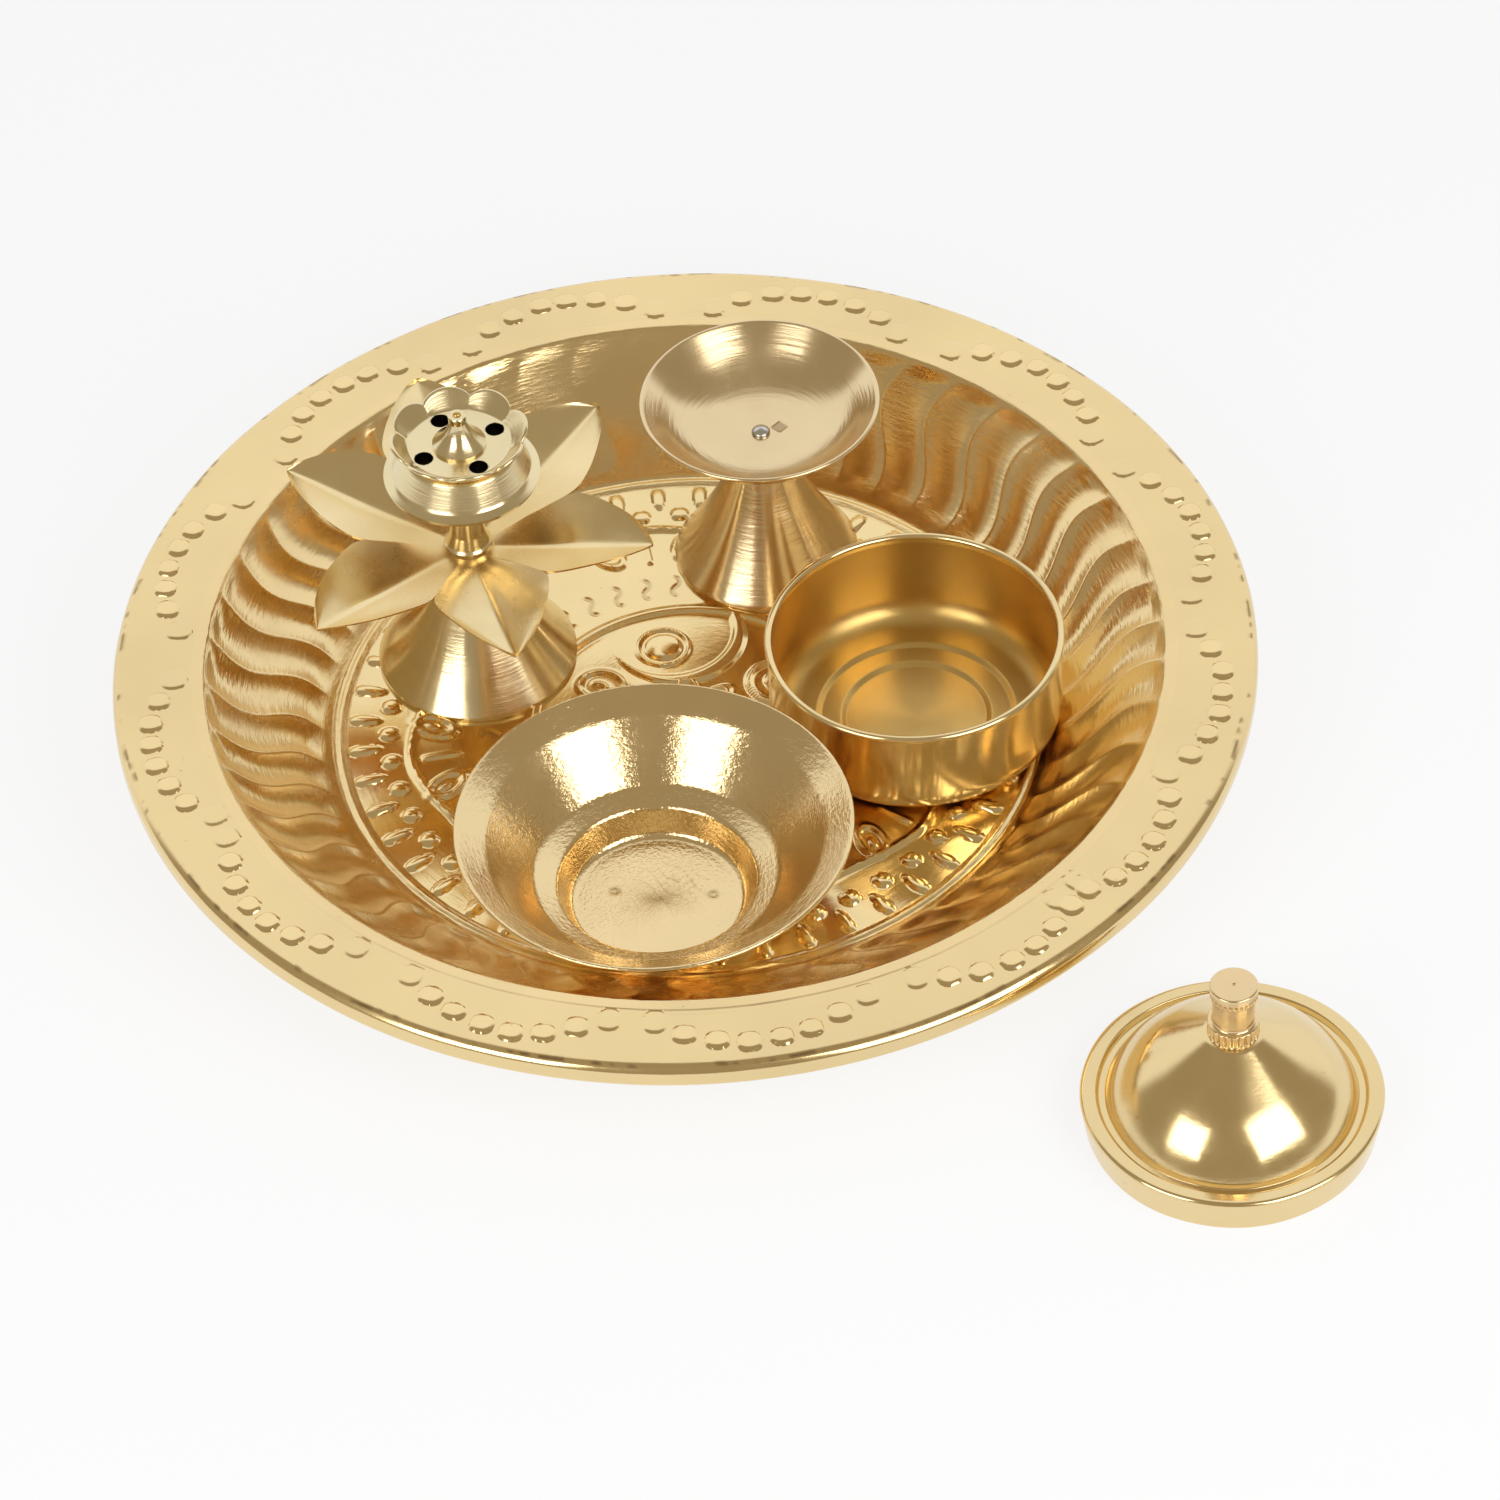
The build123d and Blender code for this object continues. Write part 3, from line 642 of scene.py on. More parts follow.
# Distance from the well, depth and half width of each fine line
RIM_LINES = ((2.6, 0.14, 0.28), (3.5, 0.1, 0.25))
RIM_FILM = 0.06
EDGE_LINE_INSET = 1.15
EDGE_LINE_WAVES = ((1, 17, 0.8), (1, 41, 2.0), (1, 89, 0), (0.8, 211, 0))


def plate_radii():
    """Radii of the floor, the well and the whole plate, from the plate's solid."""
    outer = reach("thali_plate")[0]
    return outer - RIM_WIDTH - WALL_RUN, outer - RIM_WIDTH, outer


def plate_line(step):
    """Upper line of the plate from its centre to the foot of the hem."""
    floor, well, outer = plate_radii()
    rim_top = PLATE_SHEET + WELL_DEPTH
    corners = (
        (0, PLATE_SHEET),
        (floor, PLATE_SHEET),
        (well, rim_top),
        (outer, rim_top),
        (outer, rim_top - HEM_DROP),
    )
    return rounded_line(corners, PLATE_BENDS, step)


def cut_line(line, inner, outer):
    """The stretch of a line between two radii, with points at both."""
    turn = int(np.argmax(line[:, 0]))
    radius, height = line[: turn + 1].T
    keep = line[: turn + 1][(radius > inner + 1e-6) & (radius < outer - 1e-6)]
    first, last = ([np.interp(edge, radius, side) for side in (radius, height)] for edge in (inner, outer))
    return np.vstack([first, keep, last])


def sway(radius, angle):
    """Hand-pressed unevenness: slow waves round the plate that grow from the floor's edge to the rim."""
    floor, _, outer = plate_radii()
    grow = smoothstep(floor, outer, radius) * settings().plate.rim_sway / MM
    return grow * waves(angle, SWAY_WAVES) / 2


def pressed_sheet(line, sides, relief, skip, loop, stain_and_shade=None, edge=None):
    """Skin of pressed sheet: the line moved along its upper normal by the relief at each angle, and the
    same surface set off below by the sheet's thickness, on every few rows, but not into the table."""
    normal = line_normals(line)
    angle = round_angles(sides)[None, :]
    radius, height = line[:, :1], line[:, 1:]
    lift = relief(radius, angle) + np.zeros((len(line), sides))
    top_r = radius + lift * normal[:, :1]
    top_z = height + lift * normal[:, 1:] + sway(radius, angle)
    rows = np.unique(np.append(np.arange(0, len(line), skip), len(line) - 1))[::-1]
    under_r = (top_r - PLATE_SHEET * normal[:, :1])[rows]
    under_z = np.maximum(top_z - PLATE_SHEET * normal[:, 1:], 0)[rows]
    parts_r, parts_z = [top_r, under_r], [top_z, under_z]
    marks = np.zeros((len(line), sides)) if stain_and_shade is None else stain_and_shade(radius, angle)
    parts_s = [marks, np.zeros_like(under_r)]
    if edge is not None:
        parts_r.insert(1, np.broadcast_to(edge[:, :1], (len(edge), sides)))
        parts_z.insert(1, edge[:, 1:] + sway(edge[:, :1], angle))
        parts_s.insert(1, np.zeros((len(edge), sides)))
    all_r, all_z = np.vstack(parts_r), np.vstack(parts_z)
    if not loop:
        all_r[0] = all_r[-1] = 0
    middle = np.stack([all_r.mean(1), all_z.mean(1)], 1)
    grid = round_grid(all_r, all_z, angle, (0, 0, 0))
    return skin(grid, distance_along(middle), np.vstack(parts_s), loop)


def ridge(distance, half_width):
    """Rounded ridge: 1 on the line, falling away as a bell curve."""
    return np.exp(-((distance / half_width) ** 2))


def away_from(across, along, half_width, half_length, square):
    """Distance from the middle of a round-cornered outline, as a share of the way to the outline: the
    root of the sum of both shares, each raised to the power that squares the corners."""
    shares = np.abs(across / half_width) ** square + np.abs(along / half_length) ** square
    return shares ** (1 / square)


def boss(across, along, half_width, half_length):
    """Oval boss with a domed top: 1 in the middle and 0 beyond its outline."""
    away = away_from(across, along, half_width, half_length, 2)
    return np.sqrt(np.clip(1 - away**2, 0, 1)) * smoothstep(1.06, 0.8, away)


def punched(across, along, half_width, half_length):
    """Punched bead: a rounded square, flat in the middle, that rounds off to a steep edge."""
    away = away_from(across, along, half_width, half_length, 2.4)
    return np.clip(1 - away**5, 0, 1) ** 0.6


def sector(angle, count, offset=0.0):
    """Angle from the middle of the nearest of so many equal sectors."""
    pitch = FULL_TURN / count
    return (angle - offset + pitch / 2) % pitch - pitch / 2


def stroke(x, y, curve, half_width):
    """Ridge along a sampled curve: the bell curve of the distance to its nearest point."""
    gap = np.full(x.shape, np.inf)
    for point in curve:
        gap = np.minimum(gap, (x - point[0]) ** 2 + (y - point[1]) ** 2)
    return np.exp(-gap / half_width**2)


def scroll(centre, start, size, hand, count=90):
    """Scroll line: a spiral that opens from its eye while it turns, then runs out into a tail."""
    share = np.linspace(0, 1, count)
    turn = radians(start) + hand * share * SCROLL_TURNS * FULL_TURN
    far = size * (0.16 + 0.84 * share**1.2)
    return np.stack([centre[0] + far * np.cos(turn), centre[1] + far * np.sin(turn)], 1)


def leaf_outline(x, y, half_length, half_width):
    """Distance from the outline of an oval leaf centred at the origin, true at its sides."""
    away = np.sqrt((x / half_length) ** 2 + (y / half_width) ** 2)
    return (away - 1) * half_width


def circle_gap(x, y, circle):
    """Distance from a circle, less than 0 inside it."""
    return np.hypot(x - circle[0], y - circle[1]) - circle[2]


def edge_line(radius):
    """Raised line just inside the floor's edge."""
    return 0.7 * ridge(radius - plate_radii()[0] + EDGE_INSET, 0.6)


def wavy_rays(radius, angle):
    """Engraved rays round the medallion, each one wave of a sine along the radius: 1 on the line and 0
    away from it, by the distance square to the wave."""
    share = (radius - RAY_START) / RAY_LENGTH
    across = sector(angle, RAYS, RAY_OFFSET) * radius - RAY_SWING * np.sin(FULL_TURN * share)
    slope = FULL_TURN * RAY_SWING / RAY_LENGTH * np.cos(FULL_TURN * share)
    ends = smoothstep(-0.08, 0.06, share) * smoothstep(1.08, 0.94, share)
    return ends * ridge(across / np.sqrt(1 + slope**2), 0.42)


def floor_stain(radius, angle):
    """Dirt left in the engraved rays."""
    return RAY_DIRT * wavy_rays(radius, angle)


def floor_border(radius, angle):
    """Pressed border of the floor, by rings from the inside: engraved wavy rays, paired leaves under a
    scalloped line, dots, long drops, and a raised line at the floor's edge."""
    lobe = sector(angle, LOBES, LOBE_OFFSET)
    dip = np.abs(np.sin(LOBES / 2 * (angle - LOBE_OFFSET))) ** 1.6
    scallop = 0.8 * ridge(radius - (SCALLOP_RADIUS - SCALLOP_DIP * dip), 0.7)
    side = np.sign(lobe)
    leaf_x = radius - LEAF_RADIUS
    leaf_y = (np.abs(lobe) - LEAF_OFFSET) * radius * side
    tilt = LEAF_TILT * side
    long_way = leaf_x * np.cos(tilt) + leaf_y * np.sin(tilt)
    wide_way = -leaf_x * np.sin(tilt) + leaf_y * np.cos(tilt)
    leaves = 0.8 * ridge(leaf_outline(long_way, wide_way, 3.7, 2.2), 0.52)
    seeds = 0.6 * boss(wide_way, long_way - 0.5, 0.75, 1.5)
    stem_ends = smoothstep(40.5, 41.5, radius) * smoothstep(48.5, 47.5, radius)
    stem = 0.7 * ridge(lobe * radius, 0.6) * stem_ends
    dots = boss(sector(angle, DOTS) * radius, radius - DOT_RADIUS, 1.8, 1.8)
    drop = sector(angle, DOTS, FULL_TURN / (2 * DOTS)) * radius
    drops = boss(drop, radius - DROP_RADIUS, 1.3 + 0.1 * (radius - DROP_RADIUS), 3.1)
    layers = (scallop, leaves, seeds, stem, dots, drops, edge_line(radius))
    return np.maximum.reduce(np.broadcast_arrays(*layers)) - RAY_DEPTH * wavy_rays(radius, angle)


def floor_medallion(radius, angle):
    """Pressed medallion: a ring, a crescent that cradles a bead, scrolls at both sides, and a lotus of
    oval petals in the middle."""
    x, y = flat(radius, angle)
    ring = 0.9 * ridge(radius - RING_RADIUS, 0.95)
    bead = 1.1 * boss(x - MOON_BEAD[0], y - MOON_BEAD[1], MOON_BEAD[2], MOON_BEAD[2])
    bead_line = 0.5 * ridge(circle_gap(x, y, MOON_BEAD_LINE), 0.4)
    crescent_gap = np.maximum(circle_gap(x, y, MOON_OUTSIDE), -circle_gap(x, y, MOON_HOLLOW))
    crescent = 0.8 * smoothstep(0.25, -0.9, crescent_gap)
    petal_side = sector(angle, LOTUS_PETALS) * radius
    petals = 0.7 * ridge(leaf_outline(radius - LOTUS_RADIUS, petal_side, 3.6, 1.9), 0.45)
    eye = 0.9 * boss(x, y, 2.0, 2.0)
    layers = [ring, bead, bead_line, crescent, petals, eye]
    for hand in (1, -1):
        for centre, start, size, sense, height, half_width in SCROLLS:
            line = scroll((hand * centre[0], centre[1]), start, size, hand * sense)
            layers.append(height * stroke(x, y, line, half_width))
    return np.maximum.reduce(np.broadcast_arrays(*layers))


def floor_relief(radius, angle):
    """Height of the pressed floor above its plane."""
    height = settings().plate.relief / MM
    x, y = flat(radius, angle)
    hammer = 0.02 * np.sin(0.31 * x + 1) * np.sin(0.27 * y)
    border, medallion = floor_border(radius, angle), floor_medallion(radius, angle)
    return height * np.where(radius > MEDALLION_RADIUS, border, medallion) + hammer


def wall_relief(radius, angle):
    """S-shaped flutes: parabolic scoops with sharp ridges between them, whose phase swings to and fro up
    the slope. They are pressed outwards, die out at the foot and just under the rim, and are shallower
    at the back."""
    plate = settings().plate
    floor, well, _ = plate_radii()
    share = (radius - floor) / (well - floor)
    swing = plate.flute_swing * np.sin(FULL_TURN * (FLUTE_SWINGS * share + 0.02))
    phase = angle + swing - FLUTE_LEAN * share
    across = (plate.flutes * phase + waves(angle, FLUTE_WAVES)) / pi % 2 - 1
    scoop = 1 - across**2
    fade = smoothstep(0.05, 0.2, share) * smoothstep(1.0, 0.88, share)
    away = (angle - WORN_BEARING + pi) % FULL_TURN - pi
    worn = 1 - WORN_SHARE * ridge(away, WORN_SPREAD)
    return plate.relief / MM * edge_line(radius) - plate.flute_depth / MM * fade * worn * scoop


def bead_places():
    """Radius, angle, half sizes and height of each bead: eight beads to a festoon, on a parabola that is
    furthest out in the middle, with longer and flatter ones at its ends and small differences by hand."""
    well = plate_radii()[1]
    hand = np.random.default_rng(BEAD_SEED)
    share = np.linspace(-1, 1, FESTOON_BEADS)
    end = np.abs(share) ** 4
    turn = BEAD_PITCH / (well + FESTOON_INSET + FESTOON_RISE)
    places = []
    for centre in FESTOON_CENTRES:
        jitter = hand.normal(0, 1, (4, FESTOON_BEADS))
        far = well + FESTOON_INSET + FESTOON_RISE * (1 - share**2) + 0.15 * jitter[0]
        angle = radians(centre) + turn * (np.arange(FESTOON_BEADS) - (FESTOON_BEADS - 1) / 2)
        wide = BEAD_WIDTH + 0.1 * end + 0.06 * jitter[2]
        long = BEAD_LENGTH + 0.4 * end + 0.08 * jitter[3]
        places.append(np.stack([far, angle + 0.0015 * jitter[1], wide, long, 1 - 0.5 * end], 1))
    return np.vstack(places)


def bead_relief(radius, angle):
    """Height of the punched beads above the rim."""
    height = settings().plate.bead_height / MM
    lift = np.zeros(np.broadcast_shapes(radius.shape, angle.shape))
    for far, turn, half_width, half_length, share in bead_places():
        near = np.abs((angle[0] - turn + pi) % FULL_TURN - pi) < BEAD_SPAN
        around = ((angle[:, near] - turn + pi) % FULL_TURN - pi) * far
        bead = height * share * punched(around, radius - far, half_width, half_length)
        lift[:, near] = np.maximum(lift[:, near], bead)
    return lift


def rim_relief(radius, angle):
    """Punched beads on the rim, two fine lines at its inner edge, and slow hand-made waves."""
    well = plate_radii()[1]
    lift = bead_relief(radius, angle)
    lines = sum(depth * ridge(radius - well - inset, half) for inset, depth, half in RIM_LINES)
    wave = 0.02 * np.sin(9 * angle + 0.35 * radius) + 0.015 * np.sin(23 * angle - 0.5 * radius)
    return lift - lines * (lift < 0.02) + wave * smoothstep(well + SHOULDER_REACH, well + 4, radius)


def rim_stain(radius, angle):
    """Thin film of tarnish that is worn off the beads, and a dark broken line close to the edge."""
    outer = plate_radii()[2]
    broken = waves(angle, EDGE_LINE_WAVES)
    thick = 0.16 + 0.16 * np.clip(broken / 2, 0, 1)
    wander = 0.3 * np.sin(5 * angle) * np.sin(29 * angle)
    line = ridge(radius - outer + EDGE_LINE_INSET + wander, thick)
    film = RIM_FILM * smoothstep(0.5, 0.2, bead_relief(radius, angle))
    return np.maximum(film, 0.8 * line * smoothstep(0.1, 1.4, broken))


def hem_roll(foot):
    """Rolled edge at the foot of the hem: half a circle that swings inwards, without its ends."""
    swing = np.linspace(0, -pi, 9)[1:-1]
    across = foot[0] - HEM_ROLL + HEM_ROLL * np.cos(swing)
    return np.stack([across, foot[1] + HEM_ROLL * np.sin(swing)], 1)


def build_plate():
    """The plate as five pressed skins: medallion, border, fluted wall, beaded rim and hem."""
    floor, well, outer = plate_radii()
    edges = (0, MEDALLION_RADIUS, floor - BORDER_INSET, well + SHOULDER_REACH, outer - HEM_REACH, outer)
    skins = {
        "plate_medallion": (floor_relief, None, "plate_brass"),
        "plate_border": (floor_relief, floor_stain, "plate_brass"),
        "plate_wall": (wall_relief, None, "wall_brass"),
        "plate_rim": (rim_relief, rim_stain, "plate_brass"),
        "plate_hem": (rim_relief, rim_stain, "plate_brass"),
    }
    for (name, (relief, stain_and_shade, finish)), inner, far in zip(skins.items(), edges, edges[1:]):
        step, sides, skip = PLATE_GRIDS[name]
        whole = plate_line(step)
        line = cut_line(whole, inner, far)
        roll = None
        if name == "plate_hem":
            line = np.vstack([line, whole[int(np.argmax(whole[:, 0])) + 1 :]])
            roll = hem_roll(line[-1])
        part = pressed_sheet(line, sides, relief, skip, inner > 0, stain_and_shade, roll)
        add_piece(name, [part], metal_finish(finish), "plate", "plate_brass", "thali_plate")


# Katori


KATORI_SHEET = 0.8
KATORI_LINE = ((0, 0.8), (15.2, 0.8), (17.4, 6.0), (21.3, 7.4), (29.4, 17.0), (34.0, 19.8))
KATORI_BENDS = (1.6, 1.2, 2.0, 4.0)
KATORI_FLOOR = 14.0
# Position and half width of each punch dent
KATORI_DENTS = ((-7.6, 2.6, 0.85), (9.6, 0.6, 0.8))
KATORI_DENT_DEPTH = 0.22


def katori_shape(radius, height, angle):
    """Two small punch dents and a rough ring in the floor, and a rim that is a little out of true."""
    x, y = flat(radius, angle)
    inside = (radius < KATORI_FLOOR) & (height > 0.5)
    dents = sum(ridge(np.hypot(x - dx, y - dy), size) for dx, dy, size in KATORI_DENTS)
    ring = ridge(np.hypot(x - 3.5, (y - 3.0) * 1.4) - 2.4, 1.2)
    scuff = 0.05 * ring * np.sin(2.9 * x) * np.sin(3.3 * y + 1)
    wave = 0.12 * smoothstep(25, 34, radius) * np.sin(3 * angle + 0.7)
    return radius + wave, height - inside * (KATORI_DENT_DEPTH * dents + scuff)


def katori_stain(radius, height, angle):
    """Grey scribbles on the floor, and grey rings round the dents."""
    x, y = flat(radius, angle)
    inside = (radius < KATORI_FLOOR) & (height > 0.5)
    patch = ridge(np.hypot(x - 2.5, (y - 3.4) * 1.2), 4.5)
    scuff = patch * smoothstep(0.86, 1.0, np.sin(2.2 * x + 1.8 * y + 1.5 * np.sin(1.1 * x)))
    dents = sum(ridge(np.hypot(x - dx, y - dy) - 0.8 * size, 0.35) for dx, dy, size in KATORI_DENTS)
    return inside * np.clip(0.35 * scuff + 0.35 * dents, 0, 0.6)


def build_katori():
    """The katori as one spun sheet."""
    profile = sheet_profile(rounded_line(KATORI_LINE, KATORI_BENDS, 0.45), KATORI_SHEET)
    add_turned("katori", profile, "katori", "katori_brass", "katori_bowl", katori_shape, katori_stain)


# Pot


POT_SHEET = 0.7
POT_RADIUS = 25.4
POT_LIP = 0.68
POT_LIP_REACH = 0.42
POT_LIP_SWING = (200, -65)
# Share of painted shade, a darker amber, on the pot's inner face
POT_INSIDE_SHADE = 0.8
POT_WAVES = ((0.1, 2, 0.4), (0.05, 5, 0))
POT_FLOOR = ((0, 0.7), (12.5, 0.7), (13.5, 1.2), (16.9, 1.2), (17.9, 1.7))
POT_BENDS = (0.5, 1.0, 0.5, 1.0, 4.5)


def pot_shape(radius, height, angle):
    """Walls a little out of round."""
    return radius + waves(angle, POT_WAVES) * smoothstep(3, 18, height), height


def build_pot():
    """The pot as one drawn sheet with a rolled lip, lacquered inside."""
    top = reach("container_body")[1] - POT_LIP
    corners = (*POT_FLOOR, (POT_RADIUS, POT_FLOOR[-1][1]), (POT_RADIUS, top - 0.3))
    line = rounded_line(corners, POT_BENDS, 0.5)
    centre = POT_RADIUS + POT_LIP_REACH
    swing = np.radians(np.linspace(*POT_LIP_SWING, 17))
    lip = np.stack([centre + POT_LIP * np.cos(swing), top + POT_LIP * np.sin(swing)], 1)
    profile = sheet_profile(line, POT_SHEET, lip)
    # Painted shade: the inner face of the pot, up to its lip, is tinted darker amber
    inside_shade = POT_INSIDE_SHADE * (np.arange(len(profile)) < len(line) - 2)[:, None]
    add_turned("pot", profile, "pot", "pot_brass", "container_body", pot_shape, inside_shade)


# Lid


LID_SHEET = 0.7
LID_RADIUS = 25.7
LID_SKIRT = 6.6
LID_TAPER = 1.0
LID_LAND = 2.8
LID_GROOVE = (1.7, 0.9)
LID_CROWN = (4.8, 21.2)
LID_CONE = 8.15
LID_SLOPES = (33.0, 68.0)
LID_EDGE = 0.75
LID_INSIDE = ((23.9, 0.1), (24.2, 4.9))
LID_WAVES = ((0.06, 3, 0.5), (0.04, 8, 1.2))
KNOB_CORNERS = (
    (0, 11.15),
    (0.35, 11.4),
    (4.05, 11.4),
    (4.05, 9.0),
    (3.6, 8.7),
    (3.5, 3.2),
    (4.4, 2.9),
    (4.4, 0.0),
    (0, 0.0),
)
KNOB_BENDS = (0.15, 0.35, 0.3, 0.2, 0.5, 0.3, 0.3)
COLLAR_KNURLS = 22
HEAD_KNURLS = 28


def lid_dome(depth):
    """Cone that falls from the crown and rounds, as an arc, into a steep side at the groove, set in by a
    depth."""
    first, last = (radians(slope) for slope in LID_SLOPES)
    foot = LID_RADIUS - LID_LAND - LID_GROOVE[0]
    bow = (foot - LID_CROWN[0] - LID_CONE) / (sin(last) - sin(first))
    slope = np.linspace(first, last, 40)
    low = LID_CROWN[1] - LID_CONE * tan(first) - bow * cos(first)
    centre = np.array([foot - bow * sin(last), low])
    arc = centre + (bow - depth) * np.stack([np.sin(slope), np.cos(slope)], 1)
    start = np.array(LID_CROWN) - depth * np.array([sin(first), cos(first)])
    return np.vstack([straight(start, arc[0], 0.5), arc])


def lid_profile():
    """Section of the lid's sheet: flat crown, dome, groove, land, the skirt that draws in towards its
    foot, and back inside without the groove."""
    land = LID_RADIUS - LID_LAND
    floor = LID_SKIRT - LID_GROOVE[1]
    outer, inner = lid_dome(0), lid_dome(LID_SHEET)
    corners = (
        outer[-1],
        (land - LID_GROOVE[0] + 0.12, floor),
        (land - 0.5, floor),
        (land, LID_SKIRT),
        (LID_RADIUS, LID_SKIRT),
        (LID_RADIUS - LID_TAPER, 0.0),
    )
    skirt = rounded_line(corners, (0.15, 0.3, 0.45, LID_EDGE), 0.4)[1:]
    roof = (inner[-1, 0], LID_INSIDE[1][1])
    inside = rounded_line((*LID_INSIDE, roof, inner[-1]), (0.6, 0.3), 1.0)
    crown = LID_CROWN[1]
    return np.vstack([[(0, crown)], outer, skirt, inside, inner[-2::-1], [(0, crown - LID_SHEET)]])


def lid_shape(radius, height, angle):
    """A dome and a skirt that spinning left a little uneven."""
    return radius + waves(angle, LID_WAVES) * smoothstep(8, 20, radius), height


def knob_shape(radius, height, angle):
    """Knurls: round teeth on the collar, and fine ones under the head, fading at both bands' edges."""
    collar = smoothstep(0.1, 0.5, height) * smoothstep(3.0, 2.6, height)
    head = smoothstep(8.9, 9.1, height) * smoothstep(9.9, 9.6, height)
    teeth = np.abs(np.sin(COLLAR_KNURLS / 2 * angle)) ** 0.6
    fine = np.abs(np.sin(HEAD_KNURLS / 2 * angle)) ** 0.7
    outside = radius > 3.0
    return radius - outside * (0.5 * collar * (1 - teeth) + 0.22 * head * (1 - fine)), height


def build_lid():
    """The lid as one spun sheet, and its turned knob."""
    add_turned("lid", lid_profile(), "lid", "lid_brass", "lid_shell", lid_shape)
    profile = rounded_line(KNOB_CORNERS, KNOB_BENDS, 0.22)
    add_turned("knob", profile, "lid", "knob_brass", "lid_knob", knob_shape)


# Cones that carry the diya and the incense stand


CONE_SHEET = 0.8
CONE_PINCH = 1.2
CONE_SLANT = 1.15


def cone_profile(node, crown):
    """Section of a hollow cone that is drawn in a little half way up, with a small turned foot."""
    base, height = reach(node)
    waist = (base + crown) / 2 - CONE_PINCH
    outer = arc_through((crown, height), (waist, height / 2), (base, 0.9), 46)
    wall = CONE_SHEET * CONE_SLANT
    roof = (crown - wall, height - CONE_SHEET)
    inner = arc_through((base - wall, 0.0), (waist - wall, height / 2), roof, 20)
    foot = [(base + 0.02, 0.55), (base, 0.2), (base - 0.2, 0.0)]
    return np.vstack([[(0, height)], outer, foot, inner, [(0, height - CONE_SHEET)]])


# Diya


DIYA_SHEET = 0.8
DIYA_FLAT = 13.2
DIYA_KNEE = 14.0
DIYA_CONE_CROWN = 3.4
# Position and half size of the punch mark
DIYA_MARK = (3.4, 1.3, 1.5)
DIYA_MARK_DEPTH = 0.16
DIYA_MARK_STAIN = 0.45
RIVET_DOME = ((0, 3.6), (1.35, 3.05), (1.7, 2.3))
RIVET_SHANK = ((1.0, 2.25), (1.0, 0.7), (1.9, 0.7), (1.9, 0.0), (0, 0.0))


def diya_mark(x, y):
    """Nearness to the middle of a small diamond punch mark beside the rivet: 1 inside, 0 outside."""
    away = np.abs(x - DIYA_MARK[0]) + np.abs(y - DIYA_MARK[1])
    return smoothstep(DIYA_MARK[2] + 0.25, DIYA_MARK[2] - 0.25, away)


def diya_shape(radius, height, angle):
    """The punch mark, pressed into the bowl's upper face."""
    mark = diya_mark(*flat(radius, angle))
    return radius, height - DIYA_MARK_DEPTH * mark


def diya_stain(radius, height, angle):
    """Grey in the punch mark."""
    mark = diya_mark(*flat(radius, angle))
    return DIYA_MARK_STAIN * mark * (height > DIYA_SHEET - 0.01)


def build_diya():
    """The diya: a shallow spun bowl on a cone, and the rivet that holds them."""
    outer, height = reach("diya_bowl")
    corners = ((0, DIYA_SHEET), (DIYA_FLAT, DIYA_SHEET), (outer - 0.5, height - 0.1))
    profile = sheet_profile(rounded_line(corners, (DIYA_KNEE,), 0.3), DIYA_SHEET)
    add_turned("diya_lamp_bowl", profile, "diya", "diya_brass", "diya_bowl", diya_shape, diya_stain)
    profile = cone_profile("diya_cone_stand", DIYA_CONE_CROWN)
    add_turned("diya_cone", profile, "diya", "diya_brass", "diya_cone_stand")
    profile = np.vstack([arc_through(*RIVET_DOME, 14), RIVET_SHANK])
    add_turned("rivet", profile, "diya", "rivet_metal", "diya_rivet", finish="fastener_steel")


# Incense stand


INCENSE_CONE_CROWN = 4.4
# Bearing in degrees and reach of each petal
PETALS = ((50, 37.4), (104, 38.4), (155, 36.0), (223, 36.0), (283, 36.0), (347, 33.8))
PETAL_SHEET = 0.55
PETAL_ROOT = 2.4
PETAL_SWELL = 6.0
PETAL_HALF_WIDTH = 11.8
PETAL_LIFT = 9.0
PETAL_FOLD = 19.0
PETAL_ROWS = 72
PETAL_COLUMNS = 27
# Share of painted amber reflection at the petals' hub
PETAL_HUB_REFLECTION = 0.45
PETAL_DISC = ((0, 0.62), (5.2, 0.62), (5.4, 0.3), (5.2, 0.0), (0, 0.0))
STEM_CORNERS = (
    (0, 22.8),
    (3.1, 22.8),
    (3.1, 14.0),
    (2.75, 9.0),
    (3.2, 4.0),
    (3.9, 1.7),
    (4.3, 1.3),
    (4.3, 0.0),
    (0, 0.0),
)
STEM_BENDS = (0.2, 3.0, 3.0, 2.0, 0.4, 0.35, 0.3)
STICK_HOLE = 1.65
STICK_CIRCLE = 7.1
STICK_START = 28.0
STICK_HOLES = 4
BELL_SHOULDER = 10.0
BELL_SKIRT = ((12.4, 1.5), (13.85, 0.8))
BELL_INSIDE = ((0, 5.0), (3.5, 5.0), (3.5, 1.9), (9.7, 1.9), (11.7, 0.75), (13.6, 0.02))
CUP_SHEET = 0.8
CUP_FLOOR = 9.0
CUP_EDGE = (11.6, 3.6)
CUP_LOBES = 8
CUP_OFFSET = radians(12)
FINIAL_BUTTON = ((0, 6.0), (0.68, 6.0), (0.72, 6.72), (0.8, 6.8), (1.5, 6.8), (1.62, 6.65), (1.62, 5.5))
FINIAL_FLANK = ((1.5, 5.3), (2.75, 2.6), (4.75, 0.55))
FINIAL_FOOT = ((4.75, 0.0), (0, 0.0))


def petal_half_width(far, tip, gap):
    """Half width of a petal on one side: the neighbour's bounds near the hub, and further out a curve
    that narrows to the tip. The smaller of both counts, rounded where they cross."""
    bound = far * tan(radians(gap) / 2) + 0.08
    share = np.clip((far - PETAL_SWELL) / (tip - PETAL_SWELL), 0, 1)
    free = PETAL_HALF_WIDTH * np.clip(1 - share**2.4, 0, 1) ** 0.78
    return (bound**-14 + np.maximum(free, 0.05) ** -14) ** (-1 / 14)


